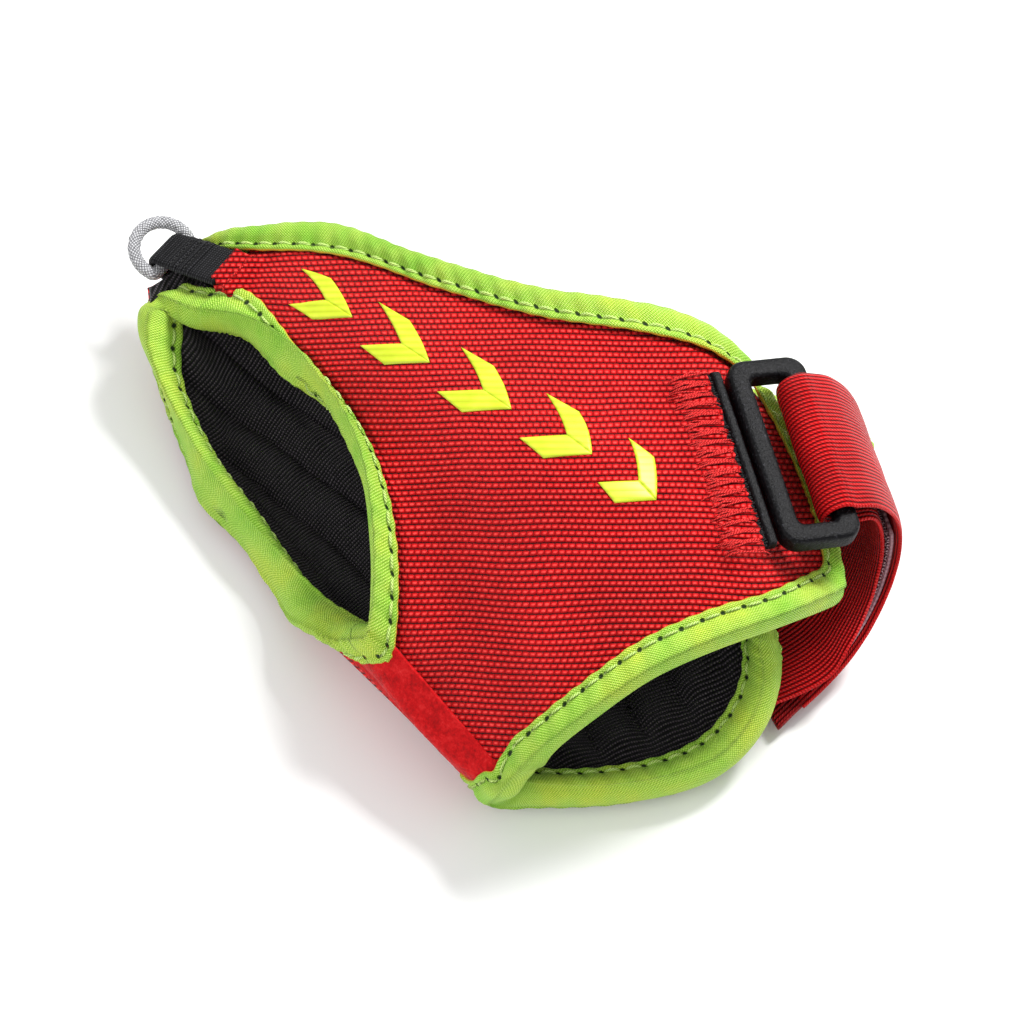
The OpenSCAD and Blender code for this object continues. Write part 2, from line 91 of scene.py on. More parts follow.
def axes(yaw, pitch):
    """The X, Y and Z directions of a frame turned by yaw and then tipped down by pitch, in degrees."""
    y, p = math.radians(yaw), math.radians(pitch)
    out = np.array([math.cos(p) * math.cos(y), math.cos(p) * math.sin(y), -math.sin(p)])
    along = np.array([-math.sin(y), math.cos(y), 0.0])
    return out, along, np.cross(out, along)


# The ring's frame: its origin is on the hinge groove.
RING_AT = np.array([37.5, 0.4, 36.4])
RING_OUT, RING_ALONG, RING_UP = axes(14.5, 12)
RING_GAP, RING_W, RING_L, RING_T, BAR_W = 0.3, 13.4, 34.5, 3.6, 3.4
FLANGE_T = 1.2
RIDGE_X, RIDGE_HALF, RIDGE_LENGTH, PANEL_CLEARANCE = -4.5, 5.5, 21.0, 0.3
RIDGE_RISE = np.array([0, -0.55, 1.0])

# The tab's frame: its origin is the middle of the cord's channel.
TAB_AT = np.array([-58, 53.6, 14.2])
TAB_OUT, TAB_ALONG, TAB_UP = axes(143, 24)
TAB_W, TAB_L, WEBBING_T, CORD_D, LOOP_R, CORD_LIFT = 7.6, 12.0, 1.3, 2.2, 5.0, 42.0
CHANNEL_R = CORD_D / 2 + 0.15

STRAP_W, STRAP_T, HOOK_T = 25.0, 1.2, 1.0
TURN_X = RING_GAP + RING_W - BAR_W / 2
TURN_R = math.hypot(BAR_W, RING_T) / 2 + 0.3


def in_ring(p):
    """Design points in the ring's frame."""
    q = p - RING_AT
    return np.stack([q @ RING_OUT, q @ RING_ALONG, q @ RING_UP], -1)


def from_ring(q):
    q = np.asarray(q, float)
    return RING_AT + q[..., :1] * RING_OUT + q[..., 1:2] * RING_ALONG + q[..., 2:3] * RING_UP


def from_tab(q):
    q = np.asarray(q, float)
    return TAB_AT + q[..., :1] * TAB_OUT + q[..., 1:2] * TAB_ALONG + q[..., 2:3] * TAB_UP


# ---------------------------------------------------------------- surfaces

def spline(points, t):
    """A smooth curve through points, for an array t from 0 to 1."""
    p = np.asarray(points, float)
    n = len(p) - 1
    s = np.asarray(t, float) * n
    i = np.clip(np.floor(s).astype(int), 0, n - 1)
    f = (s - i)[..., None]
    b, c = p[i], p[i + 1]
    a = np.where((i > 0)[..., None], p[np.maximum(i - 1, 0)], 2 * b - c)
    d = np.where((i + 2 <= n)[..., None], p[np.minimum(i + 2, n)], 2 * c - b)
    cubic = (3 * b - 3 * c + d - a) * f ** 3
    return 0.5 * (2 * b + (c - a) * f + (2 * a - 5 * b + 4 * c - d) * f ** 2 + cubic)


def side(curves, v):
    v = np.asarray(v, float)
    first = spline(curves[0], v / CORNER_1)
    middle = spline(curves[1], (v - CORNER_1) / (CORNER_2 - CORNER_1))
    last = spline(curves[2], (v - CORNER_2) / (1 - CORNER_2))
    return np.where((v < CORNER_1)[..., None], first, np.where((v < CORNER_2)[..., None], middle, last))


def faded_side(curves, u, v):
    reach = np.minimum(np.minimum(v, 1 - v), CORNER_FADE * (1 - u))
    return sum(side(curves, v + reach * k / 3) for k in range(-3, 4)) / 7


def mix(a, b, t):
    return a + (b - a) * t


def unit(a):
    return a / np.maximum(np.linalg.norm(a, axis=-1, keepdims=True), 1e-12)


def smooth(t):
    t = np.clip(t, 0, 1)
    return t * t * (3 - 2 * t)


def stretch(near, far, start, end, u, v):
    uu, vv = u[..., None], v[..., None]
    near_ends = mix(np.asarray(near[0], float), np.asarray(near[-1], float), uu)
    far_ends = mix(np.asarray(far[0], float), np.asarray(far[-1], float), uu)
    across = mix(spline(near, u), spline(far, u), vv)
    return across + mix(spline(start, v), faded_side(end, u, v), uu) - mix(near_ends, far_ends, vv)


def hump(u, v):
    return 16 * u * (1 - u) * v * (1 - v)


def ridge(p):
    """The stiff flange holds the back panel up along a ridge."""
    q = in_ring(p)
    low = np.maximum(0, -FLANGE_T - PANEL_CLEARANCE - q[..., 2])
    share = np.exp(-((q[..., 0] - RIDGE_X) / RIDGE_HALF) ** 2 - (q[..., 1] / RIDGE_LENGTH) ** 8)
    return p + RIDGE_RISE * (low * share)[..., None]


def surface(panel, u, v):
    u, v = np.broadcast_arrays(np.asarray(u, float), np.asarray(v, float))
    if panel == BACK:
        p = stretch(back_thumb, back_finger, back_tab, [back_seam, back_wrist, back_tongue], u, v)
        p[..., 2] += CROWN * hump(u, v)
        return ridge(p)
    p = stretch(palm_thumb, palm_finger, palm_tab, [palm_fold, palm_wrist, palm_right], u, v)
    z = p[..., 2] - SAG * hump(u, v) ** 2
    p[..., 2] = (z + PANEL_T + np.hypot(z - PANEL_T, FLOOR_BLEND)) / 2
    return p


def panel_normal(panel, u, v):
    u, v = np.broadcast_arrays(np.asarray(u, float), np.asarray(v, float))
    a, b = np.maximum(0, u - TINY), np.minimum(1, u + TINY)
    c, d = np.maximum(0, v - TINY), np.minimum(1, v + TINY)
    along = surface(panel, b, v) - surface(panel, a, v)
    across = surface(panel, u, d) - surface(panel, u, c)
    return unit(np.cross(along, across) if panel == BACK else np.cross(across, along))


def panel_point(panel, u, v, h):
    h = np.asarray(h, float)[..., None]
    return surface(panel, u, v) + panel_normal(panel, u, v) * (h if panel == BACK else h + PANEL_T)


def gusset_point(s, t, h):
    s, t = np.broadcast_arrays(np.asarray(s, float), np.asarray(t, float))
    v = s * CORNER_1
    one = np.ones_like(v)
    back, palm = panel_point(BACK, one, v, h), panel_point(PALM, one, v, h)
    out = unit(panel_normal(BACK, one, v) + panel_normal(PALM, one, v) + np.array([-1, -1, 0.0]))
    swell = BULGE * np.sin(math.pi * t) * np.sin(math.pi * s)
    return mix(back, palm, mix(0.05, 0.95, t)[..., None]) + out * swell[..., None]


def point_on(piece, u, v, h):
    return gusset_point(u, v, h) if piece == GUSSET else panel_point(piece, u, v, h)


# ---------------------------------------------------------------- meshes

def fine_noise(p, scale, seed=0.0):
    """Smooth noise from -1 to 1 at design points, with features about scale millimetres wide."""
    flat = np.asarray(p, float).reshape(-1, 3) / scale + seed
    values = [noise.noise(Vector(q)) for q in flat]
    return np.array(values).reshape(np.asarray(p).shape[:-1])


def grid_normals(p, closed_rows=False, closed_cols=False):
    def difference(a, axis, closed):
        if closed:
            return np.roll(a, -1, axis) - np.roll(a, 1, axis)
        return np.gradient(a, axis=axis)
    return unit(np.cross(difference(p, 0, closed_rows), difference(p, 1, closed_cols)))


def quads(rows, cols, closed_rows=False, closed_cols=False, first=0):
    i = np.arange(rows if closed_rows else rows - 1)
    j = np.arange(cols if closed_cols else cols - 1)
    i, j = (a.ravel() for a in np.meshgrid(i, j, indexing="ij"))
    i2, j2 = (i + 1) % rows, (j + 1) % cols
    return np.stack([i * cols + j, i2 * cols + j, i2 * cols + j2, i * cols + j2], 1) + first


def new_piece(name, points, faces, material, cloth):
    """A mesh piece from design points, with cloth coordinates in millimetres for its material."""
    mesh = bpy.data.meshes.new(name)
    points = np.asarray(points, float).reshape(-1, 3)
    mesh.from_pydata(((points - CENTRE) * MM).tolist(), [], [list(map(int, f)) for f in faces])
    mesh.update()
    layer = mesh.attributes.new("cloth", "FLOAT_VECTOR", "POINT")
    layer.data.foreach_set("vector", np.asarray(cloth, np.float32).ravel())
    mesh.polygons.foreach_set("use_smooth", [True] * len(mesh.polygons))
    mesh.materials.append(material)
    piece = bpy.data.objects.new(name, mesh)
    bpy.context.scene.collection.objects.link(piece)
    return piece


def fix_normals(piece):
    work = bmesh.new()
    work.from_mesh(piece.data)
    bmesh.ops.recalc_face_normals(work, faces=work.faces)
    work.to_mesh(piece.data)
    work.free()
    return piece


def border_of(rows, cols):
    """The indices round the border of a grid."""
    return np.concatenate([
        np.arange(cols), np.arange(1, rows) * cols + cols - 1,
        (rows - 1) * cols + np.arange(cols - 2, -1, -1), np.arange(rows - 2, 0, -1) * cols])


def slab(name, outer, inner, material, cloth, edge=0.0):
    """A closed solid between two grids. With edge, its rim is rounded by a middle row pushed out."""
    rows, cols = outer.shape[:2]
    n = rows * cols
    faces = [quads(rows, cols), quads(rows, cols, first=n)[:, ::-1]]
    border = border_of(rows, cols)
    nxt = np.roll(border, -1)
    points = [outer.reshape(-1, 3), inner.reshape(-1, 3)]
    cloths = [cloth.reshape(-1, 3), cloth.reshape(-1, 3)]
    if edge:
        middle = (points[0][border] + points[1][border]) / 2
        ring_next, ring_before = np.roll(middle, -1, 0), np.roll(middle, 1, 0)
        up = unit(points[0][border] - points[1][border])
        push = unit(np.cross(up, ring_next - ring_before)) * edge
        centre = middle.mean(0)
        sign = np.sign(((middle - centre) * push).sum(1).mean()) or 1.0
        points.append(middle + push * sign)
        cloths.append(cloths[0][border])
        m = 2 * n + np.arange(len(border))
        m2 = np.roll(m, -1)
        faces.append(np.stack([border, nxt, m2, m], 1)[:, ::-1])
        faces.append(np.stack([m, m2, nxt + n, border + n], 1)[:, ::-1])
    else:
        faces.append(np.stack([border, nxt, nxt + n, border + n], 1)[:, ::-1])
    piece = new_piece(name, np.concatenate(points), np.concatenate(faces), material, np.concatenate(cloths))
    return fix_normals(piece)


def sweep(name, rings, material, cloth, closed=False):
    """A closed solid through rings of points, with flat caps where it isn't a loop."""
    rows, cols = rings.shape[:2]
    faces = quads(rows, cols, closed, True).tolist()
    if not closed:
        faces += [list(range(cols)), list(range((rows - 1) * cols, rows * cols))]
    return fix_normals(new_piece(name, rings.reshape(-1, 3), faces, material, cloth))


def tubes(name, paths, radius, material, sides=8, taper=0.75):
    """Short round threads along paths, thinner at their ends, in one piece."""
    points, faces, cloths, first = [], [], [], 0
    angle = np.arange(sides) * 2 * math.pi / sides
    for path in paths:
        path = np.asarray(path, float)
        tangent = unit(np.gradient(path, axis=0))
        helper = np.where(np.abs(tangent[:, 2:3]) > 0.9, [[1.0, 0, 0]], [[0, 0, 1.0]])
        one = unit(np.cross(tangent, helper))
        two = np.cross(tangent, one)
        k = np.linspace(-1, 1, len(path))
        r = radius * (1 - (1 - taper) * np.abs(k) ** 3)
        ring = (path[:, None] + r[:, None, None] * (np.cos(angle)[None, :, None] * one[:, None]
                                                  + np.sin(angle)[None, :, None] * two[:, None]))
        length = np.concatenate([[0], np.cumsum(np.linalg.norm(np.diff(path, axis=0), axis=1))])
        coords = np.zeros(ring.shape)
        coords[..., 0] = length[:, None]
        coords[..., 1] = angle[None] * radius
        points.append(ring.reshape(-1, 3))
        cloths.append(coords.reshape(-1, 3))
        rows = len(path)
        faces += quads(rows, sides, False, True, first)[:, ::-1].tolist()
        faces += [list(range(first, first + sides)),
                  list(range(first + rows * sides - 1, first + (rows - 1) * sides - 1, -1))]
        first += rows * sides
    return fix_normals(new_piece(name, np.concatenate(points), faces, material, np.concatenate(cloths)))


# ---------------------------------------------------------------- materials

class Field:
    """A number that varies over a surface: a shader socket that takes +, - and *."""

    def __init__(self, shader, socket):
        self.shader, self.socket = shader, socket

    def __add__(self, other):
        return self.shader.math("ADD", self, other)

    def __sub__(self, other):
        return self.shader.math("SUBTRACT", self, other)

    def __mul__(self, other):
        return self.shader.math("MULTIPLY", self, other)


class Shader:
    """A material's nodes, built by short calls."""

    def __init__(self, name):
        self.material = bpy.data.materials.new(name)
        self.material.use_nodes = True
        self.tree = self.material.node_tree
        self.bsdf = self.tree.nodes["Principled BSDF"]
        cloth = self.node("ShaderNodeAttribute")
        cloth.attribute_name = "cloth"
        split = self.node("ShaderNodeSeparateXYZ", Vector=cloth.outputs["Vector"])
        self.x, self.y, self.z = (Field(self, socket) for socket in split.outputs)
        self.place = self.node("ShaderNodeTexCoord").outputs["Object"]

    def node(self, kind, **inputs):
        made = self.tree.nodes.new(kind)
        for name, value in inputs.items():
            self.set(made.inputs[name.replace("_", " ")], value)
        return made

    def set(self, socket, value):
        value = value.socket if isinstance(value, Field) else value
        if isinstance(value, bpy.types.NodeSocket):
            self.tree.links.new(value, socket)
        else:
            socket.default_value = value

    def math(self, operation, a, b=0.0):
        made = self.tree.nodes.new("ShaderNodeMath")
        made.operation = operation
        self.set(made.inputs[0], a)
        self.set(made.inputs[1], b)
        return Field(self, made.outputs[0])

    def sine(self, value, period):
        return self.math("SINE", value * (2 * math.pi / period))

    def bumps(self, value, period):
        """Rounded ridges from 0 to 1, one for each period."""
        return self.math("ABSOLUTE", self.sine(value, 2 * period))

    def noise(self, scale, detail, rough=0.55):
        made = self.node("ShaderNodeTexNoise", Vector=self.place, Scale=scale, Detail=detail,
                         Roughness=rough)
        return Field(self, made.outputs["Fac"])

    def ramp(self, value, stops):
        made = self.node("ShaderNodeValToRGB", Fac=value)
        bar = made.color_ramp
        while len(bar.elements) < len(stops):
            bar.elements.new(0.5)
        for element, (at, colour) in zip(bar.elements, stops):
            element.position = at
            element.color = (*colour, 1)
        return made.outputs["Color"]

    def tint(self, colour, factor, other, blend="MIX"):
        made = self.tree.nodes.new("ShaderNodeMix")
        made.data_type = "RGBA"
        made.blend_type = blend
        for index, value in ((0, factor), (6, colour), (7, other)):
            self.set(made.inputs[index], value)
        return made.outputs[2]

    def blotched(self, colour, scale, stops):
        """The colour, multiplied by a slow noise's own tones."""
        return self.tint(colour, 1.0, self.ramp(self.noise(scale, 3), stops), "MULTIPLY")

    def finish(self, colour, height, depth, roughness, specular, sheen=0.0, sheen_roughness=0.5):
        """depth is the bump's depth in metres. The last three are the shader's own plain values."""
        bump = self.node("ShaderNodeBump", Height=height, Distance=depth, Strength=1.0)
        values = {"Normal": bump.outputs[0], "Base Color": colour, "Roughness": roughness,
                  "Specular IOR Level": specular, "Sheen Weight": sheen, "Sheen Roughness": sheen_roughness}
        for name, value in values.items():
            self.set(self.bsdf.inputs[name], value)
        return self.material


def grey(*tones):
    """Ramp stops in plain greys, from (position, tone) pairs."""
    return [(at, (tone, tone, tone)) for at, tone in tones]


def beaded_rows(s, x, y, pitch_x, pitch_y):
    """Rows of thick rounded floats from 0 to 1, each row set off by half a float from the next."""
    row = s.math("FLOOR", s.math("DIVIDE", y, pitch_y))
    across = s.math("POWER", s.bumps(y, pitch_y), 0.8)
    along = s.math("POWER", s.bumps(row * (0.5 * pitch_x) + x, pitch_x), 0.55)
    return across * (along * 0.72 + 0.28)


def plain_weave(s, x, y, pitch):
    """Height of a plain weave from 0 to 1: each row's thread goes over and under the others."""
    over = s.sine(x, 2 * pitch) * s.sine(y, 2 * pitch)
    weft = s.bumps(y, pitch) * (over * 0.45 + 0.6)
    warp = s.bumps(x, pitch) * (over * -0.45 + 0.45)
    return s.math("MAXIMUM", weft, warp)


def coarse_weave(name):
    s = Shader(name)
    x = s.noise(90, 1) * 0.9 + s.x
    y = s.noise(45, 1) * 1.6 + s.y
    height = beaded_rows(s, x, y, 1.06, 0.96)
    fuzz = s.noise(2600, 3)
    shade = fuzz * 0.3 + (s.noise(700, 2) * 0.3 + (height - 0.32))
    # The ramp paints shade in the gaps between the beads and a highlight on their tops; the noise in it is
    # tone that differs at random.
    colour = s.ramp(shade, [
        (0.14, (0.03, 0.0, 0.0004)), (0.32, (0.336, 0.0012, 0.0024)), (0.5, (0.56, 0.002, 0.004)),
        (0.72, (0.56, 0.002, 0.004)), (0.98, (0.85, 0.06, 0.055))])
    colour = s.blotched(colour, 50, grey((0.3, 0.8), (0.7, 1.12)))
    return s.finish(colour, fuzz * 0.2 + height, 0.0006, fuzz * 0.3 + 0.42, 0.12, 0.02, 0.4)


def needle_holes(s):
    """1 inside a needle hole. The cloth's z is the distance from the stitch line."""
    run = s.math("MODULO", s.x + 100 * STITCH_PITCH, STITCH_PITCH)
    near = run - s.math("ROUND", s.math("DIVIDE", run, STITCH_PITCH)) * STITCH_PITCH
    far = s.math("SQRT", near * near + s.z * s.z)
    hole = s.node("ShaderNodeMapRange", Value=far, From_Min=0.28, From_Max=0.5, To_Min=1.0, To_Max=0.0)
    return Field(s, hole.outputs[0])


def edge_tape_cloth(name):
    """Fine tape weave on the bias, with an orange hem and dark needle holes where the stitches go in."""
    s = Shader(name)
    height = plain_weave(s, s.x + s.y, s.x - s.y, 0.5)
    # The ramp paints shade on the weave's low threads and a highlight on its high ones.
    colour = s.ramp(height * 0.75 + s.noise(3200, 2) * 0.25, [
        (0.16, (0.06, 0.17, 0.003)), (0.45, (0.3, 0.57, 0.025)), (0.82, (0.6, 0.8, 0.17))])
    colour = s.blotched(colour, 110, [(0.3, (0.68, 0.9, 0.6)), (0.5, (1, 1, 1)), (0.72, (1.25, 1.02, 0.8))])
    colour = s.tint(colour, s.math("LESS_THAN", s.y, 0.55) * 0.75, (0.7, 0.42, 0.02, 1))
    hole = needle_holes(s)
    colour = s.tint(colour, hole, (0.012, 0.03, 0.004, 1))
    return s.finish(colour, height * 0.5 - hole * 1.6, 0.0003, height * -0.15 + 0.62, 0.25, 0.04, 0.35)


def rib_knit(name):
    """Black ribbed knit: rows of small loops."""
    s = Shader(name)
    height = s.bumps(s.noise(150, 2) * 0.9 + s.y, 0.66) * (s.bumps(s.x, 0.42) * 0.4 + 0.6)
    fuzz = s.noise(2500, 3)
    # The ramp paints shade between the ribs and a purplish highlight on their tops.
    colour = s.ramp(fuzz * 0.4 + height * 0.7, [
        (0.35, (0.001, 0.001, 0.0013)), (0.68, (0.008, 0.006, 0.009)), (1.0, (0.12, 0.1, 0.115))])
    return s.finish(colour, fuzz * 0.2 + height, 0.00045, fuzz * 0.2 + 0.45, 0.3, 0.02, 0.5)


def brushed_cloth(name):
    s = Shader(name)
    pile = s.noise(1500, 4, rough=0.7)
    shade = pile * 0.6 + s.noise(420, 3) * 0.4
    colour = s.ramp(shade, [
        (0.3, (0.2, 0.001, 0.002)), (0.52, (0.5, 0.004, 0.006)), (0.75, (0.68, 0.03, 0.03))])
    return s.finish(colour, shade, 0.0003, pile * 0.2 + 0.75, 0.12, 0.12, 0.35)


def strap_webbing(name, bright=1.0):
    """Soft webbing: lengthwise cords, each with a twist."""
    s = Shader(name)
    cord = s.bumps(s.noise(120, 1) * 0.5 + s.y, 0.72)
    twist = s.bumps(s.x + s.y * 0.8, 0.58)
    height = cord * (twist * 0.4 + 0.6)
    fuzz = s.noise(2600, 2)
    # The ramp paints shade in the grooves between the cords and a highlight on their tops.
    colour = s.ramp(fuzz * 0.3 + height * 0.85, [
        (0.24, (0.05 * bright, 0.0, 0.001)), (0.5, (0.4 * bright, 0.001, 0.002)),
        (0.85, (0.58 * bright, 0.003, 0.005)), (1.0, (0.72 * bright, 0.03, 0.03))])
    colour = s.blotched(colour, 70, grey((0.3, 0.7), (0.7, 1.1)))
    return s.finish(colour, height, 0.0004, fuzz * 0.25 + 0.26, 0.14, 0.01, 0.3)


def thread(name, dark, base, light):
    s = Shader(name)
    plies = s.bumps(s.x + s.y * 1.2, 0.5)
    # The ramp paints shade between the plies and a highlight on their tops.
    colour = s.ramp(s.noise(2200, 2) * 0.4 + plies * 0.7, [(0.15, dark), (0.55, base), (0.95, light)])
    return s.finish(colour, plies, 0.00012, plies * -0.1 + 0.5, 0.16, 0.02)


def moulded_plastic(name):
    s = Shader(name)
    grain = s.noise(1900, 3, rough=0.6)
    speck = s.noise(4200, 2)
    # The grain's tone varies at random, and the ramp's lightest specks are painted glints.
    colour = s.ramp(grain * 0.6 + speck * 0.4, [
        (0.4, (0.0012, 0.0012, 0.0015)), (0.57, (0.004, 0.004, 0.005)), (0.72, (0.05, 0.05, 0.058))])
    return s.finish(colour, speck * 0.4 + grain, 0.00016, grain * 0.25 + 0.3, 0.11)


def black_webbing(name):
    s = Shader(name)
    height = s.bumps(s.x, 0.55) * (s.bumps(s.y, 0.45) * 0.5 + 0.5)
    fuzz = s.noise(2600, 2)
    # The ramp paints shade between the threads and a highlight on their tops.
    colour = s.ramp(fuzz * 0.45 + height * 0.7, [
        (0.25, (0.002, 0.002, 0.0022)), (0.65, (0.006, 0.006, 0.007)), (1.0, (0.05, 0.05, 0.055))])
    return s.finish(colour, height, 0.0003, fuzz * 0.2 + 0.5, 0.12)


def braided_cord(name):
    s = Shader(name)
    strands = s.bumps(s.x + s.y, 0.62) * s.bumps(s.x - s.y, 0.62)
    fuzz = s.noise(2400, 3)
    shade = fuzz * 0.5 + strands * 0.6
    # The ramp paints shade between the strands and a highlight on their tops.
    colour = s.ramp(shade, [
        (0.15, (0.05, 0.05, 0.055)), (0.45, (0.3, 0.3, 0.315)), (0.85, (0.72, 0.72, 0.74))])
    return s.finish(colour, shade, 0.00025, fuzz * 0.2 + 0.6, 0.35, 0.2)


def rubber_print(name):
    s = Shader(name)
    soft = s.noise(300, 2)
    shade = soft * 0.5 + s.bumps(s.y, 1.1) * 0.35
    # The ramp paints a highlight on the film's ridges and shade between them; the soft noise is tone that
    # differs at random.
    colour = s.ramp(shade, [
        (0.2, (0.42, 0.5, 0.004)), (0.5, (0.53, 0.64, 0.012)), (0.8, (0.66, 0.74, 0.05))])
    return s.finish(colour, shade, 0.00006, soft * 0.15 + 0.38, 0.5)


def foam(name):
    s = Shader(name)
    cells = Field(s, s.node("ShaderNodeTexVoronoi", Vector=s.place, Scale=1800.0).outputs["Distance"])
    # The ramp paints shade in the pits of the cells.
    colour = s.ramp(cells, [(0.1, (0.05, 0.05, 0.055)), (0.6, (0.13, 0.13, 0.14))])
    return s.finish(colour, cells, 0.0002, cells * 0.1 + 0.85, 0.5)


def hook_tape_plastic(name):
    s = Shader(name)
    fuzz = s.noise(1500, 3)
    shade = s.bumps(s.x, 1.1) * s.bumps(s.y, 1.1) * 0.6 + fuzz * 0.4
    # The ramp paints a highlight on the raised dots of the hooks and shade between them.
    colour = s.ramp(shade, [
        (0.15, (0.2, 0.09, 0.11)), (0.5, (0.48, 0.27, 0.31)), (0.9, (0.78, 0.56, 0.6))])
    return s.finish(colour, shade, 0.0002, fuzz * 0.2 + 0.45, 0.45)


MATERIALS = {
    "outer": coarse_weave("outer_weave"),
    "tape": edge_tape_cloth("edge_tape_weave"),
    "knit": rib_knit("black_rib_knit"),
    "brushed": brushed_cloth("brushed_red"),
    "strap": strap_webbing("strap_cords"),
    "strap_dark": strap_webbing("strap_cords_dark", 0.62),
    "lime_thread": thread("lime_thread", (0.12, 0.26, 0.01), (0.42, 0.66, 0.1), (0.66, 0.82, 0.3)),
    "red_thread": thread("red_thread", (0.14, 0.0, 0.002), (0.55, 0.003, 0.005), (0.8, 0.045, 0.04)),
    "black_thread": thread("black_thread", (0.002, 0.002, 0.002), (0.012, 0.012, 0.013),
                           (0.05, 0.05, 0.05)),
    "plastic": moulded_plastic("moulded_black"),
    "webbing": black_webbing("black_webbing"),
    "cord": braided_cord("grey_braid"),
    "print": rubber_print("lime_film"),
    "foam": foam("charcoal_foam"),
    "hooks": hook_tape_plastic("hook_tape_pink"),
}


# ---------------------------------------------------------------- panels

CUT_X = -2.3
COVER_LIFT = 0.35
SQUEEZE = 0.75
PANEL_LENGTH = 92.0
HEM_INSET, HEM_LENGTH = 3.7, 95
HEM_AT = 0.02
QUILT_X, QUILT_Y, QUILT_SEAM, QUILT_PITCH = -121, -86, 143.7, 8.0


def panel_width(panel, u, v):
    """The straight distance across a panel at u."""
    zero = np.zeros_like(v)
    return np.linalg.norm(surface(panel, u, zero + 1) - surface(panel, u, zero), axis=-1)


def edge_room(panel, u, v):
    """The distance from a panel's taped edges, in millimetres."""
    return np.minimum(np.minimum(v, 1 - v) * panel_width(panel, u, v), (1 - u) * PANEL_LENGTH)


def squeeze(panel, u, v):
    """How far a panel is pressed in on each face by the tape at its edges."""
    return SQUEEZE * (1 - smooth((edge_room(panel, u, v) - 1.8) / 3.0))


def cover_relief(p, normal, u, v):
    """How the back panel's outer cloth lies: soft waves, puckers at its seams, and up over the flange."""
    soft = 0.28 * fine_noise(p, 17, 3.1) + 0.1 * fine_noise(p, 7, 9.4)
    waves = 0.5 + 0.5 * fine_noise(p, 5, 1.7)
    width = panel_width(BACK, u, v)

    def pucker(distance):
        return 0.16 * np.exp(-np.maximum(distance - TAPE_W, 0) / 2.2) * waves

    seams = pucker(v * width) + pucker((1 - v) * width)
    from_hem = u * HEM_LENGTH
    hem = 0.5 * smooth((5.2 - from_hem) / 0.7) - 0.25 * np.exp(-((from_hem - 5.5) / 0.5) ** 2)
    free = smooth((edge_room(BACK, u, v) - 3.9) / 1.4)
    p = p + normal * (soft - seams + hem * free - squeeze(BACK, u, v))[..., None]
    return over_flange(over_tab(p, free))


def over_tab(p, free):
    """Lifts the cloth over the end of the tab sewn in under it, where it is free of the edge tapes."""
    q = p - TAB_AT
    x, y, z = q @ TAB_OUT, q @ TAB_ALONG, q @ TAB_UP
    share = smooth((x + 20) / 7) * smooth((4.9 - np.abs(y)) / 1.2) * free
    return p + TAB_UP * (np.maximum(3.3 - z, 0) * share)[..., None]


def over_flange(p):
    """Lifts the cloth over the flange's sewn side and drops it under the rest at its cut edge."""
    q = in_ring(p)
    x, y, z = q[..., 0], q[..., 1], q[..., 2]
    rough_edge = CUT_X + 0.25 * np.sin(y * 2.9) + 0.2 * np.sin(y * 7.3 + 1)
    on = smooth((x + 11.5) / 4) * (x < rough_edge) * smooth((17.6 - np.abs(y)) / 1.6)
    gather = 0.12 * np.sin(y * 2 * math.pi / 2.05) * np.exp(-((x + 7) / 3.5) ** 2)
    lift = np.maximum(COVER_LIFT - z, 0) * on + gather * (np.abs(y) < 18)
    return p + RING_UP * lift[..., None]


def cloth_place(p, across=(0, 0.87, 0.5)):
    """Cloth coordinates of a panel: rows run along X and are counted up the slope."""
    place = np.zeros(p.shape)
    place[..., 0] = p[..., 0]
    place[..., 1] = p @ np.array(across)
    return place


def panel_grid(panel, rows, cols, h, start=0.0):
    u, v = np.meshgrid(np.linspace(start, 0.995, rows), np.linspace(0.012, 0.988, cols), indexing="ij")
    return u, v, panel_point(panel, u, v, h)


def quilt_radius(p):
    return np.hypot(p[..., 0] - QUILT_X, p[..., 1] - QUILT_Y)


def quilting(p, depth):
    """Sewn channels that run in wide arcs across the lining: 0 on a seam, up to depth between them."""
    radius = quilt_radius(p) + 0.8 * fine_noise(p * [1, 1, 0], 14, 5.0)
    across = np.abs(np.sin(math.pi * (radius - QUILT_SEAM) / QUILT_PITCH))
    crumple = 0.35 * fine_noise(p, 6, 2.2) * np.sqrt(across) + 0.15 * fine_noise(p, 2.6, 7.7)
    return depth * across ** 0.6 + crumple * depth


def pressed(top, low, panel, u, v):
    """Two faces of a layer, brought closer by the tape's squeeze."""
    middle = (top + low) / 2
    keep = (1 - 0.8 * squeeze(panel, u, v) / SQUEEZE)[..., None]
    return middle + (top - middle) * keep, middle + (low - middle) * keep


def make_back_panel():
    """The back panel's outer cover, foam pad and lining."""
    rows, cols = 200, 150
    u, v, base = panel_grid(BACK, rows, cols, 0, HEM_AT)
    normal = panel_normal(BACK, u, v)
    outer = cover_relief(base, normal, u, v)
    inner = outer - normal * SHELL_T * 0.9
    cover = slab("outer_back_cover", outer, inner, MATERIALS["outer"], cloth_place(outer))
    pad_u, pad_v, pad_top = panel_grid(BACK, 70, 54, -SHELL_T - 0.35, 2 * HEM_AT)
    pad_low = panel_point(BACK, pad_u, pad_v, -SHELL_T - PADDING_T)
    pad_top, pad_low = pressed(pad_top, pad_low, BACK, pad_u, pad_v)
    pad = slab("back_foam_pad", pad_top, pad_low, MATERIALS["foam"], cloth_place(pad_top))
    lu, lv, base = panel_grid(BACK, 130, 100, -PANEL_T, HEM_AT)
    ln = panel_normal(BACK, lu, lv)
    fade = smooth((edge_room(BACK, lu, lv) - 3.5) / 5)
    low = base + ln * (0.55 - quilting(base, 0.75) * fade + squeeze(BACK, lu, lv))[..., None]
    place = cloth_place(base, (0.4, 0.9, 0))
    knit = slab("back_knit_lining", base + ln * LINING_T, low, MATERIALS["knit"], place)
    return cover, pad, knit


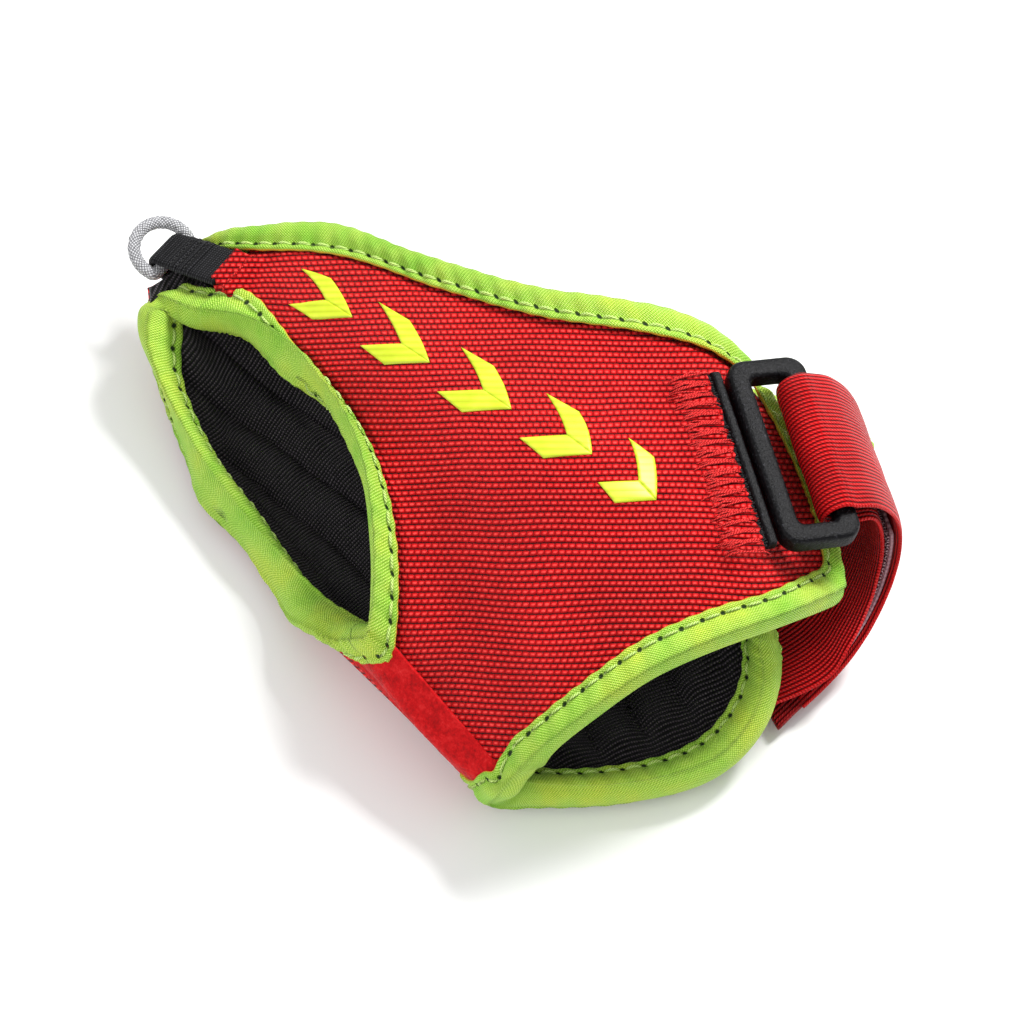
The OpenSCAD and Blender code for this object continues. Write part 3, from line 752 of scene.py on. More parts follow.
def make_palm_panel():
    """The palm panel's outer cover, foam pad and lining."""
    u, v, outer = panel_grid(PALM, 130, 100, 0)
    normal = panel_normal(PALM, u, v)
    dent = np.maximum(0, 0.15 + 0.22 * fine_noise(outer, 12, 8.8))
    outer = outer - normal * (dent + squeeze(PALM, u, v))[..., None]
    cover = slab("outer_palm_cover", outer, outer - normal * 0.55, MATERIALS["outer"], cloth_place(outer))
    pu, pv, pad_top = panel_grid(PALM, 60, 46, -SHELL_T - 0.1)
    pad_top, pad_low = pressed(pad_top, panel_point(PALM, pu, pv, -SHELL_T - PADDING_T), PALM, pu, pv)
    pad = slab("palm_foam_pad", pad_top, pad_low, MATERIALS["foam"], cloth_place(pad_top))
    lu, lv, base = panel_grid(PALM, 190, 150, -PANEL_T)
    ln = panel_normal(PALM, lu, lv)
    fade = smooth((edge_room(PALM, lu, lv) - 3.5) / 5)
    top = base + ln * (0.75 - quilting(base, 2.1) * fade + squeeze(PALM, lu, lv))[..., None]
    turn = np.arctan2(base[..., 1] - QUILT_Y, base[..., 0] - QUILT_X)
    place = np.stack([quilt_radius(base), turn * 148, 0 * turn], -1)
    knit = slab("palm_knit_lining", top, base + ln * LINING_T, MATERIALS["knit"], place)
    return cover, pad, knit


# How far the brushed strip laps over each panel, and the shares of its width where its side wall
# starts and ends.
FLAP, UNDER_FLAP = 5.6, 4.5
WALL_FROM, WALL_TO = 0.3, 0.72


def make_gusset():
    """The brushed strip covers the side seam and laps over both panels' edges."""
    s, k = np.meshgrid(np.linspace(0.01, 0.99, 110), np.linspace(0, 1, 70), indexing="ij")
    v, zero = s * CORNER_1, 0 * s
    inset = FLAP * (1 - k / WALL_FROM).clip(0, 1)
    flap = panel_point(BACK, 1 - inset / PANEL_LENGTH, v, zero + 0.35)
    under = UNDER_FLAP * ((k - WALL_TO) / (1 - WALL_TO)).clip(0, 1)
    low_flap = panel_point(PALM, 1 - under / PANEL_LENGTH, v, zero + 0.3)
    t = ((k - WALL_FROM) / (WALL_TO - WALL_FROM)).clip(0, 1)
    side_wall = gusset_point(s, 0.02 + 0.96 * t, zero)
    outward = unit(gusset_point(s, zero + 0.5, zero + 0.5) - gusset_point(s, zero + 0.5, zero))
    outer = np.where((k < WALL_FROM)[..., None], flap, side_wall + outward * 0.35)
    outer = np.where((k > WALL_TO)[..., None], low_flap, outer)
    for _ in range(6):
        outer[:, 1:-1] = (outer[:, :-2] + 2 * outer[:, 1:-1] + outer[:, 2:]) / 4
    normal = grid_normals(outer)
    normal = normal * np.sign((normal * outward).sum(-1).mean())
    wrinkle = 0.1 * fine_noise(outer, 7, 4.4) + 0.05 * fine_noise(outer, 1.6, 6.1)
    outer = outer + normal * wrinkle[..., None]
    place = np.stack([s * 34, k * 22, 0 * s], -1)
    strip = slab("brushed_side_strip", outer, outer - normal * 0.8, MATERIALS["brushed"], place, 0.1)
    s, t = np.meshgrid(np.linspace(0, 1, 60), np.linspace(0, 1, 30), indexing="ij")
    middle = gusset_point(s, t, 0 * s - PANEL_T * 0.45)
    inner = gusset_point(s, t, 0 * s - PANEL_T)
    knit = slab("side_knit_lining", middle, inner, MATERIALS["knit"], np.stack([s * 34, t * 14, 0 * s], -1))
    return strip, knit


# ---------------------------------------------------------------- edge tapes

# The tape's outline as inset from the panel's edge and height above the panel's outer face.
HALF_OUTLINE = [
    (TAPE_W, 0.1), (TAPE_W + 0.15, 0.45), (TAPE_W - 0.1, 0.82), (TAPE_W - 0.65, 0.9),
    (TAPE_W - 1.25, 0.6), (TAPE_W - 1.9, 1.0), (TAPE_W - 2.6, 1.45), (TAPE_W - 3.5, 1.75),
    (TAPE_W - 4.4, 1.8), (TAPE_W - 5.3, 1.6), (0.05, 1.2), (-0.65, 0.65), (-1.3, -0.1), (-1.62, -0.9)]
STITCH_COL = 4


def tape_outline():
    outer = np.array(HALF_OUTLINE)
    inner = outer[::-1].copy()
    inner[:, 1] = -PANEL_T - inner[:, 1]
    core = np.array([(0.2, -PANEL_T - 0.12), (0.2, 0.12)])
    middle = np.array([(-1.7, -PANEL_T / 2)])
    return np.concatenate([outer, middle, inner, core])


OUTLINE = tape_outline()
INNER_STITCH_COL = 2 * len(HALF_OUTLINE) - STITCH_COL


def edge_rings(piece, u, v, du, dv, least=0.66, share=1.0):
    """Outline points at each edge point (u, v), whose inside lies towards (du, dv). share is the tape's
    width as a share of its usual one, and least is that share at the tab."""
    u, v, du, dv = (np.asarray(a, float) + 0 * np.asarray(u, float) for a in (u, v, du, dv))
    step = 0.02
    mid = -PANEL_T / 2 + 0 * u
    edge = point_on(piece, u, v, mid)
    inside = point_on(piece, u + du * step, v + dv * step, mid)
    out = unit(edge - inside)
    narrow = share * (1.0 if piece == GUSSET else np.minimum(1, least + 2.5 * u))
    scale = np.linalg.norm(inside - edge, axis=-1) / step / narrow
    inset, height = OUTLINE[:, 0], OUTLINE[:, 1]
    reach = np.maximum(inset, 0)[None] / scale[:, None]
    uu, vv = u[:, None] + du[:, None] * reach, v[:, None] + dv[:, None] * reach
    points = point_on(piece, uu, vv, height[None] + 0 * uu)
    return points - out[:, None] * np.minimum(inset, 0)[None, :, None]


def even_rings(rings, spacing, closed=False, blur=0):
    """The rings again, spaced evenly along their middle line and smoothed a little along it."""
    if closed:
        rings = np.concatenate([rings, rings[:1]])
    middle = rings.mean(1)
    length = np.concatenate([[0], np.cumsum(np.linalg.norm(np.diff(middle, axis=0), axis=1))])
    count = max(4, int(round(length[-1] / spacing)))
    at = np.linspace(0, length[-1], count + 1)
    flat = rings.reshape(len(rings), -1)
    made = np.stack([np.interp(at, length, column) for column in flat.T], 1)
    made = made.reshape(len(at), *rings.shape[1:])
    if closed:
        made = made[:-1]
    for _ in range(blur):
        before, after = np.roll(made, 1, 0), np.roll(made, -1, 0)
        blurred = (before + 2 * made + after) / 4
        if not closed:
            blurred[0], blurred[-1] = made[0], made[-1]
        made = blurred
    return made, length[-1] / count


def make_tape(name, rings, closed, seed, crimps=(), blur=10, plain=0.0):
    """A folded edge tape from rough rings: puffed between its stitches, with creases where it bends.
    The first share of its length, plain, has no coloured hem."""
    rings, spacing = even_rings(rings, 0.5, closed, blur)
    rows, cols = rings.shape[:2]
    run = np.arange(rows) * spacing
    normal = grid_normals(rings, closed, True)
    outward = rings - rings.mean(1, keepdims=True)
    normal = normal * np.where((normal * outward).sum((1, 2)) < 0, -1, 1)[:, None, None]
    place = np.zeros(rings.shape)
    around = np.concatenate([[0], np.cumsum(np.linalg.norm(np.diff(OUTLINE, axis=0), axis=1))])
    place[..., 0] = run[:, None]
    place[..., 1] = around[None] + (run < plain * run[-1])[:, None]
    off = np.minimum(np.abs(around - around[STITCH_COL]), np.abs(around - around[INNER_STITCH_COL]))
    place[..., 2] = off[None]
    phase = np.cos(2 * math.pi * run / STITCH_PITCH)[:, None]
    near = np.exp(-(off / 1.3) ** 2)[None]
    puff = np.exp(-((off - 3.0) / 2.2) ** 2)[None]
    drift = fine_noise(rings, 6, seed) * 0.2 + fine_noise(rings, 2.3, seed + 5) * 0.07
    lift = -0.16 * phase * near + (0.09 * -phase + drift) * puff
    for centre, reach in crimps:
        fade = np.exp(-((run - centre * rows * spacing) / reach) ** 2)[:, None]
        crease = np.sin(run * 2 * math.pi / 1.7 + 1.3 * np.sin(run))[:, None]
        lift = lift + 0.2 * fade * crease * (0.3 + puff)
    shown = np.arange(cols) <= 2 * len(HALF_OUTLINE)
    rings = rings + normal * (lift * shown[None])[..., None]
    piece = sweep(name, rings, MATERIALS["tape"], place, closed)
    return piece, rings, normal, spacing


def stitch_paths(rings, normal, spacing, col, closed, skip=0):
    """Short threads that sit in the groove of a tape, one for each pitch."""
    rows = len(rings)
    count = int(rows * spacing / STITCH_PITCH)
    k = np.linspace(0.1, 0.9, 7)
    paths = []
    for i in range(skip, count - skip):
        at = (i + k) * STITCH_PITCH / spacing
        low = np.floor(at).astype(int)
        share = (at - low)[:, None]
        high = (low + 1) % rows if closed else np.minimum(low + 1, rows - 1)
        low = np.minimum(low, rows - 1)
        base = mix(rings[low, col], rings[high, col], share)
        rise = (0.26 - 0.75 * np.abs(np.linspace(-1, 1, 7)) ** 4)[:, None]
        paths.append(base + unit(normal[low, col]) * rise)
    return paths


def turned_rings(start, end, count):
    """Rings that swing round from the last two rings of one edge to the first two of the next."""
    def frame_of(ring, run):
        along = unit(run)
        inward = ring[0] - ring[len(HALF_OUTLINE)]
        inward = unit(inward - along * (inward @ along))
        return np.stack([along, inward, np.cross(along, inward)], 1)
    origins = [start[-1].mean(0), end[0].mean(0)]
    runs = [start[-1].mean(0) - start[-2].mean(0), end[1].mean(0) - end[0].mean(0)]
    frames = [frame_of(start[-1], runs[0]), frame_of(end[0], runs[1])]
    locals_ = [(start[-1] - origins[0]) @ frames[0], (end[0] - origins[1]) @ frames[1]]
    turns = [Matrix(f.tolist()).to_quaternion() for f in frames]
    reach = 1.25 * np.linalg.norm(origins[1] - origins[0])
    one, two = unit(runs[0]) * reach, unit(runs[1]) * reach
    made = []
    for t in np.linspace(0, 1, count + 2)[1:-1]:
        a, b = 2 * t ** 3 - 3 * t ** 2 + 1, t ** 3 - 2 * t ** 2 + t
        c, d = 3 * t ** 2 - 2 * t ** 3, t ** 3 - t ** 2
        origin = a * origins[0] + b * one + c * origins[1] + d * two
        turn = np.array(turns[0].slerp(turns[1], smooth(t)).to_matrix())
        made.append(origin + mix(locals_[0], locals_[1], t) @ turn.T)
    return np.array(made)


def thumb_rings():
    k = np.linspace(0, 1, 120)
    zero, one = 0 * k, 0 * k + 1
    back = edge_rings(BACK, k, zero, zero, one, 0.88)
    t = np.linspace(0.1, 0.9, 12)
    gusset = edge_rings(GUSSET, 0 * t, t, 0 * t + 1, 0 * t)
    palm_k = np.linspace(1, 1 / 16, 120)
    palm = edge_rings(PALM, palm_k, 0 * palm_k, 0 * palm_k, 0 * palm_k + 1, 0.88)
    rim = smooth((3.2 - OUTLINE[:, 0]) / 3.2)[None] * np.exp(-((palm_k - 0.54) / 0.16) ** 2)[:, None]
    palm = palm + rim[..., None] * np.array([-0.85, -0.5, 0.15]) * 1.5
    return np.concatenate([gusset[6:], palm, turned_rings(palm, back, 24), back, gusset[:6]])


WRIST_SHARE = 0.88


def wrist_part(piece, k):
    v = mix(CORNER_1, CORNER_2, k)
    turn = np.minimum(1, k * 6)
    return edge_rings(piece, 0 * k + 1, v, -turn, turn - 1, share=WRIST_SHARE)


def wrist_rings():
    palm = wrist_part(PALM, np.linspace(0.93, 0, 100))
    t = np.linspace(0.9, 0.1, 12)
    gusset = edge_rings(GUSSET, 0 * t + 1, t, 0 * t - 1, 0 * t, share=WRIST_SHARE)
    back = wrist_part(BACK, np.linspace(0, 1, 110))
    tongue_k = np.linspace(0.02, 0.8, 40)
    v = mix(CORNER_2, 1, tongue_k)
    tongue = edge_rings(BACK, 0 * v + 1, v, 0 * v - 1, 0 * v, share=WRIST_SHARE)
    k = np.linspace(1, 0.1, 8)[:, None, None]
    centre = palm[0].mean(0)
    past = centre + (palm[0] - centre) * (1 - 0.45 * k ** 2) + np.array([-0.1, 0.75, 0.65]) * 4.5 * k
    return np.concatenate([past, palm, gusset, back, tongue])


TAPE_PAST_TAB = 7.5


def back_finger_rings():
    k = np.linspace(1, 0, 160)
    rings = edge_rings(BACK, k, 0 * k + 1, 0 * k, 0 * k - 1)
    last, centre = rings[-1], rings[-1].mean(0)
    t = np.linspace(0.06, 1, 16)[:, None, None]
    past = centre + (last - centre) * (1 - 0.6 * t ** 2) + np.array([-0.95, 0.2, -0.38]) * TAPE_PAST_TAB * t
    return np.concatenate([rings, past])


def make_tapes():
    k = np.linspace(1, 0, 160)
    thumb = make_tape("thumb_edge_tape", thumb_rings(), True, 11.0,
                      crimps=[(0.02, 6), (0.97, 4), (0.53, 5)], plain=0.5)
    finger = make_tape("back_finger_tape", back_finger_rings(), False, 17.0)
    palm_rings = edge_rings(PALM, k[::-1], 0 * k + 1, 0 * k, 0 * k - 1)
    palm = make_tape("palm_finger_tape", palm_rings, False, 23.0)
    wrist = make_tape("wrist_edge_tape", wrist_rings(), False, 29.0, crimps=[(0.02, 5), (0.86, 4)])
    return thumb, finger, palm, wrist


def make_stitches(name, tapes):
    paths = []
    for (_, rings, normal, spacing), closed in tapes:
        paths += stitch_paths(rings, normal, spacing, STITCH_COL, closed, 0 if closed else 1)
        paths += stitch_paths(rings, normal, spacing, INNER_STITCH_COL, closed, 0 if closed else 1)
    return tubes(name, paths, THREAD_R * 0.9, MATERIALS["lime_thread"])


# ---------------------------------------------------------------- tab and cord

def make_tab():
    """The webbing tab folded round the cord, and the thread across it."""
    fold = CHANNEL_R + WEBBING_T / 2
    top = [(-TAB_L - 3 + 0.25 * i, fold) for i in range(int((TAB_L + 3) / 0.25))]
    arc = [(fold * math.sin(a), fold * math.cos(a)) for a in np.linspace(0, math.pi, 40)]
    low = [(-0.25 * i, -fold) for i in range(1, 16)]
    line = np.array(top + arc + low)
    tangent = unit(np.gradient(line, axis=0))
    normal = np.stack([-tangent[:, 1], tangent[:, 0]], 1)
    length = np.concatenate([[0], np.cumsum(np.linalg.norm(np.diff(line, axis=0), axis=1))])
    y = np.linspace(-TAB_W / 2, TAB_W / 2, 40)
    x, z = line[:, :1], line[:, 1:]
    wide = 1 - 0.08 * np.exp(-((x - 0.8) / 3.5) ** 2)
    ridges = 0.22 * sum(np.exp(-((x + at) / 0.45) ** 2) for at in (3.4, 5.0, 7.0, 8.4)) * (z > 0)
    ribs = 0.05 * np.cos(length * 2 * math.pi / 1.1)[:, None]
    half = WEBBING_T / 2 * (1 - 0.5 * (np.abs(y) / (TAB_W / 2)) ** 10)[None]
    def layer(side_sign, extra):
        reach = side_sign * half + extra
        parts = np.broadcast_arrays(x + normal[:, :1] * reach, y[None] * wide, z + normal[:, 1:] * reach)
        return from_tab(np.stack(parts, -1))
    place = np.stack(np.broadcast_arrays(length[:, None], y[None], 0 * x), -1)
    tab = slab("tab_webbing", layer(1, ridges + ribs), layer(-1, 0), MATERIALS["webbing"], place, 0.15)
    paths = []
    stitch = np.array([[0.1 * k, 0.32 * k, -0.1 * k * k] for k in (-1, -0.5, 0, 0.5, 1)])
    for row in range(-1, 2):
        for i in range(-3, 4):
            centre = np.array([-5.9 + 1.7 * row, i * 0.95, CHANNEL_R + WEBBING_T + 0.12])
            paths.append(from_tab(centre + stitch))
    tacks = tubes("tab_tacks", paths, THREAD_R * 0.5, MATERIALS["black_thread"], 6)
    return tab, tacks


def make_cord():
    """The braided cord's closed loop."""
    half = TAB_W / 2 + 0.8
    offset = math.sqrt(LOOP_R ** 2 - half ** 2)
    angle = math.asin(half / LOOP_R)
    lift = math.radians(CORD_LIFT)
    turn = np.linspace(angle - math.pi, math.pi - angle, 150)
    arc = np.stack([offset + LOOP_R * np.cos(turn), LOOP_R * np.sin(turn)], 1)
    y = np.linspace(half, -half, 30)[1:-1]
    line = np.concatenate([arc, np.stack([0 * y, y], 1)])
    for _ in range(5):
        line = (np.roll(line, 1, 0) + 2 * line + np.roll(line, -1, 0)) / 4
    path = np.stack([line[:, 0] * math.cos(lift), line[:, 1], line[:, 0] * math.sin(lift)], 1)
    tangent = unit(np.roll(path, -1, 0) - np.roll(path, 1, 0))
    up = np.array([-math.sin(lift), 0, math.cos(lift)])
    flat = np.cross(tangent, up)
    length = np.concatenate([[0], np.cumsum(np.linalg.norm(np.diff(path, axis=0), axis=1))])
    sides = 40
    a = np.arange(sides) * 2 * math.pi / sides
    turns = 5
    spiral = length[:, None] * 2 * math.pi / 3.2
    braid = np.abs(np.sin(a[None] * turns / 2 + spiral)) * np.abs(np.sin(a[None] * turns / 2 - spiral))
    radius = CORD_D / 2 * (0.93 + 0.13 * braid)
    rings = path[:, None] + radius[..., None] * (np.cos(a)[None, :, None] * flat[:, None]
                                               + np.sin(a)[None, :, None] * up)
    place = np.stack(np.broadcast_arrays(length[:, None], a[None] * CORD_D / 2, 0 * length[:, None]), -1)
    return sweep("braided_cord_loop", from_tab(rings), MATERIALS["cord"], place, True)


# ---------------------------------------------------------------- ring and flange

def rounded_loop(x0, x1, half_y, radius, corner_points=12, side_points=14):
    """Points round a rounded rectangle, the same number for each corner and side."""
    points = []
    corners = [(x1 - radius, half_y - radius, 0), (x0 + radius, half_y - radius, 90),
               (x0 + radius, radius - half_y, 180), (x1 - radius, radius - half_y, 270)]
    for i, (cx, cy, start) in enumerate(corners):
        angles = np.radians(np.linspace(start, start + 90, corner_points))
        arc = np.stack([cx + radius * np.cos(angles), cy + radius * np.sin(angles)], 1)
        nx, ny, degrees = corners[(i + 1) % 4]
        begin = math.radians(degrees)
        nxt = np.array([nx + radius * math.cos(begin), ny + radius * math.sin(begin)])
        k = np.linspace(0, 1, side_points + 2)[1:-1, None]
        points += [arc, mix(arc[-1], nxt, k)]
    return np.concatenate(points)


def make_ring():
    """The moulded ring with a slot for the strap."""
    x0, x1 = RING_GAP, RING_GAP + RING_W
    outer = rounded_loop(x0, x1, RING_L / 2, 3.0)
    inner = rounded_loop(x0 + BAR_W, x1 - BAR_W, RING_L / 2 - BAR_W, 1.2)
    middle, half = (outer + inner) / 2, (outer - inner) / 2
    a = np.arange(28) * 2 * math.pi / 28 + 0.01
    power = 0.42
    across = np.sign(np.cos(a)) * np.abs(np.cos(a)) ** power
    up = np.sign(np.sin(a)) * np.abs(np.sin(a)) ** power * RING_T / 2
    xy = middle[:, None] + half[:, None] * across[None, :, None]
    q = np.concatenate([xy, np.broadcast_to(up[None, :, None], (*xy.shape[:2], 1))], -1)
    return sweep("ring_frame", from_ring(q), MATERIALS["plastic"], q, True)


def make_flange():
    """The moulded flange that is sewn to the back panel."""
    profile = np.array([
        (-7, -1.15), (-7, -0.35), (-6.85, -0.12), (-6.6, 0), (-4, 0), (-2.15, 0), (-2.02, 0.06),
        (-1.92, 0.3), (-1.84, 0.56), (-1.7, 0.68), (-1.4, 0.72), (-0.8, 0.72), (-0.52, 0.68),
        (-0.4, 0.55), (-0.34, 0.2), (-0.32, -0.5), (-0.32, -1.05), (-0.45, -1.18), (-6.8, -1.2)])
    ends = np.array([0, 0.12, 0.45, 1.0])
    shrink = np.array([0.82, 0.93, 0.99, 1.0])
    half = RING_L / 2 - 1
    y = np.concatenate([-half + ends, np.linspace(-half + 2, half - 2, 24), half - ends[::-1]])
    size = np.concatenate([shrink, np.ones(24), shrink[::-1]])
    centre = profile.mean(0)
    section = centre + (profile - centre)[None] * size[:, None, None]
    q = np.stack([section[..., 0], np.broadcast_to(y[:, None], section.shape[:2]), section[..., 1]], -1)
    return sweep("sewn_flange", from_ring(q), MATERIALS["plastic"], q)


# The zigzag's threads, and the frayed ends along the flange's cut edge.
ZIGZAG_LEGS, ZIGZAG_STRANDS, ZIGZAG_LEFT, ZIGZAG_R = 36, 3, -9.2, 0.17
FRAY_HALF, FRAY_PITCH, FRAY_R = 15.6, 0.42, 0.1


def make_zigzag():
    """Satin zigzag of red thread over the flange's cut edge, with frayed ends along the cut."""
    rng = np.random.default_rng(4)
    half = RING_L / 2 - 0.6
    y = np.linspace(-half, half, ZIGZAG_LEGS + 1)
    paths = []
    for i in range(ZIGZAG_LEGS):
        for strand in range(ZIGZAG_STRANDS):
            spread = 0.26 * (strand - 1) + rng.normal(0, 0.12)
            left = np.array([ZIGZAG_LEFT + rng.normal(0, 0.5), y[i] + spread, 0])
            right_x, slant = CUT_X - 0.3 + rng.normal(0, 0.35), 0.75 if i % 2 else -0.75
            right = np.array([right_x, y[i] + 0.6 * spread + slant, 0])
            k = np.linspace(0, 1, 11)[:, None]
            line = mix(left, right, k)
            line[:, 1] += 0.16 * np.sin(k[:, 0] * math.pi * (1 + strand)) * rng.normal(0, 1)
            base = np.interp(line[:, 0], [-11, -9, -7.5, -2], [-0.9, -0.1, 0.42, 0.48])
            line[:, 2] = base + 0.2 * np.sin(k[:, 0] * math.pi) - 0.55 * np.abs(2 * k[:, 0] - 1) ** 8
            paths.append(from_ring(line))
    zigzag = tubes("flange_zigzag", paths, ZIGZAG_R, MATERIALS["red_thread"], 7, 0.5)
    frays = []
    for y0 in np.arange(-FRAY_HALF, FRAY_HALF + 0.1, FRAY_PITCH):
        x0 = CUT_X - 0.2 + rng.normal(0, 0.12)
        reach = 0.35 + 0.5 * rng.random()
        bend = rng.normal(0, 0.25)
        middle = [x0 + reach * 0.5, y0 + bend * 0.3, 0.28]
        frays.append(from_ring([[x0, y0, 0.3], middle, [x0 + reach, y0 + bend, 0.12]]))
    fringe = tubes("cut_edge_fringe", frays, FRAY_R, MATERIALS["black_thread"], 5, 0.5)
    return zigzag, fringe


# ---------------------------------------------------------------- strap

def tail_point(s, w, h):
    s, w = np.broadcast_arrays(np.asarray(s, float), np.asarray(w, float))
    wrist, finger = spline(tail_wrist_edge, s), spline(tail_finger_edge, s)
    run = (spline(tail_wrist_edge, s + TINY) + spline(tail_finger_edge, s + TINY)
           - spline(tail_wrist_edge, s - TINY) - spline(tail_finger_edge, s - TINY))
    inward = unit(np.cross(run, wrist - finger))
    return mix(wrist, finger, w[..., None]) + inward * np.asarray(h, float)[..., None]


def strap_lines():
    """The two edges of the strap's middle surface, and where its base and its turn end along them."""
    under = STRAP_T + STRAP_GAP + HOOK_T + BASE_GAP + STRAP_T / 2
    s = np.arange(0.92, 0.19, -0.12)
    base_controls = np.stack([tail_point(s, 0 * s + k, 0 * s + under) for k in (0, 1)], 1)
    sewn = np.array([[[33.6, -29.6, 2.8], [27, -13, 3.8]]])
    angle = np.radians(np.linspace(-90, -270, 36))
    radius = TURN_R + STRAP_T / 2
    turn = np.stack([np.stack([TURN_X + radius * np.cos(angle), 0 * angle + y, radius * np.sin(angle)], 1)
                     for y in (-STRAP_W / 2, STRAP_W / 2)], 1)
    turn = from_ring(turn)
    base_points = np.concatenate([sewn, base_controls, turn[:1]])
    t = np.linspace(0, 1, 110)
    base = np.stack([spline(base_points[:, 0], t), spline(base_points[:, 1], t)], 1)
    s = np.linspace(0.0, 0.97, 130)
    tail = np.stack([tail_point(s, 0 * s + k, 0 * s + STRAP_T / 2) for k in (0, 1)], 1)
    lines = np.concatenate([base, turn[1:], tail[3:]])
    marks = (len(base), len(base) + len(turn) - 1)
    return lines, marks


def band(name, grid, run, across):
    """One stretch of the strap, thinner at its woven edges."""
    normal = grid_normals(grid)
    soft = 0.25 * fine_noise(grid, 11, 31.0) + 0.08 * fine_noise(grid, 3.5, 34.0)
    edge = np.abs(2 * across / across.max() - 1)
    half = STRAP_T / 2 * (1 - 0.6 * edge ** 14)[None] + 0 * run[:, None]
    place = np.stack(np.broadcast_arrays(run[:, None], across[None], 0 * run[:, None]), -1)
    middle = grid + normal * soft[..., None]
    thick = normal * half[..., None]
    return slab(name, middle + thick, middle - thick, MATERIALS["strap"], place, 0.2)


def make_strap():
    """The strap as one long surface, cut into its base, its turn round the ring's bar and its tail."""
    columns = 110
    w = np.linspace(0, 1, columns)
    lines, (first, second) = strap_lines()
    for _ in range(6):
        inner = (lines[:-2] + 2 * lines[1:-1] + lines[2:]) / 4
        lines = np.concatenate([lines[:1], inner, lines[-1:]])
    grid = mix(lines[:, :1], lines[:, 1:], w[None, :, None])
    middle = lines.mean(1)
    run = np.concatenate([[0], np.cumsum(np.linalg.norm(np.diff(middle, axis=0), axis=1))])
    across = w * STRAP_W
    parts = {"base": (0, first), "turn": (first - 1, second), "tail": (second - 1, len(grid))}
    made = {}
    for part, (a, b) in parts.items():
        made[part] = band(f"strap_{part}_band", grid[a:b], run[a:b], across)
    return made


# Where the hook tape starts and ends, as shares of the tail's length and width.
HOOK_ALONG, HOOK_ACROSS = (0.4, 0.94), (0.04, 0.96)


def make_hook_tape():
    """The hook tape on the tail's inner side: a thin strip and its rows of hooks."""
    rows, cols = 90, 50
    s = np.linspace(*HOOK_ALONG, rows)
    w = np.linspace(*HOOK_ACROSS, cols)
    ss, ww = np.meshgrid(s, w, indexing="ij")
    top = STRAP_T + STRAP_GAP
    mid = tail_point(ss, ww, 0 * ss + top + HOOK_T / 2)
    wobble = 0.12 * fine_noise(mid, 8, 41.0)
    normal = unit(tail_point(ss, ww, 0 * ss + 1) - tail_point(ss, ww, 0 * ss))
    place = np.stack([ss * 68, ww * STRAP_W, 0 * ss], -1)
    low = mid + normal * (wobble - HOOK_T / 2)[..., None]
    high = mid + normal * (wobble + HOOK_T / 2 - 0.45)[..., None]
    strip = slab("hook_strip", low, high, MATERIALS["hooks"], place, 0.1)
    paths = []
    for i in range(4, rows - 2, 2):
        for j in range(1, cols - 1, 2):
            base = high[i, j] - normal[i, j] * 0.1
            lean = unit(high[i + 1, j] - high[i - 1, j]) * (0.16 if (i // 2 + j // 2) % 2 else -0.16)
            paths.append([base, base + normal[i, j] * 0.3, base + normal[i, j] * 0.5 + lean])
    teeth = tubes("hook_teeth", paths, 0.14, MATERIALS["hooks"], 5, 0.6)
    return strip, teeth


def make_pull():
    """The small folded tab at the tail's end."""
    s, w = np.meshgrid(np.linspace(0.955, 1.04, 26), np.linspace(0.02, 0.22, 18), indexing="ij")
    outer, inner = tail_point(s, w, 0 * s - 0.12), tail_point(s, w, 0 * s + STRAP_T)
    place = np.stack([s * 68, w * STRAP_W, 0 * s], -1)
    return slab("pull_tab_fold", outer, inner, MATERIALS["strap_dark"], place, 0.25)


# ---------------------------------------------------------------- print

# Places on the back panel as shares of its length and width.
CHEVRONS, CHEVRON_DEPTH, CHEVRON_TIP = 5, 0.045, np.array([0.05, 0])
FIRST_CHEVRON, LAST_CHEVRON = np.array([0.13, 0.52]), np.array([0.6, 0.63])
FIRST_ARM, LAST_ARM = np.array([-0.015, 0.14]), np.array([-0.026, 0.062])


def make_chevrons():
    """A row of raised printed chevrons along the back of the hand, each of two arms that meet."""
    points, faces, cloths, first = [], [], [], 0
    for i in range(CHEVRONS):
        at = mix(FIRST_CHEVRON, LAST_CHEVRON, i / (CHEVRONS - 1))
        arm = mix(FIRST_ARM, LAST_ARM, i / (CHEVRONS - 1))
        for a, b in ((at - arm, at + CHEVRON_TIP), (at + CHEVRON_TIP, at + arm)):
            k, j = np.meshgrid(np.linspace(0, 1, 24), np.linspace(0, 1, 12), indexing="ij")
            u = mix(a[0], b[0], k) + j * CHEVRON_DEPTH
            v = mix(a[1], b[1], k)
            base = surface(BACK, u, v)
            normal = panel_normal(BACK, u, v)
            base = cover_relief(base, normal, u, v)
            rim = np.minimum(np.minimum(k, 1 - k) * 23, np.minimum(j, 1 - j) * 11)
            top = base + normal * (0.16 + 0.14 * np.minimum(rim, 1))[..., None]
            low = base - normal * 0.1
            n = k.size
            points += [top.reshape(-1, 3), low.reshape(-1, 3)]
            place = cloth_place(top).reshape(-1, 3)
            cloths += [place, place]
            rows, cols = k.shape
            border = border_of(rows, cols)
            nxt = np.roll(border, -1)
            faces += (quads(rows, cols, first=first)).tolist()
            faces += (quads(rows, cols, first=first + n)[:, ::-1]).tolist()
            faces += (np.stack([border, nxt, nxt + n, border + n], 1)[:, ::-1] + first).tolist()
            first += 2 * n
    return fix_normals(new_piece("chevron_print", np.concatenate(points), faces, MATERIALS["print"],
                                 np.concatenate(cloths)))


# ---------------------------------------------------------------- putting it together

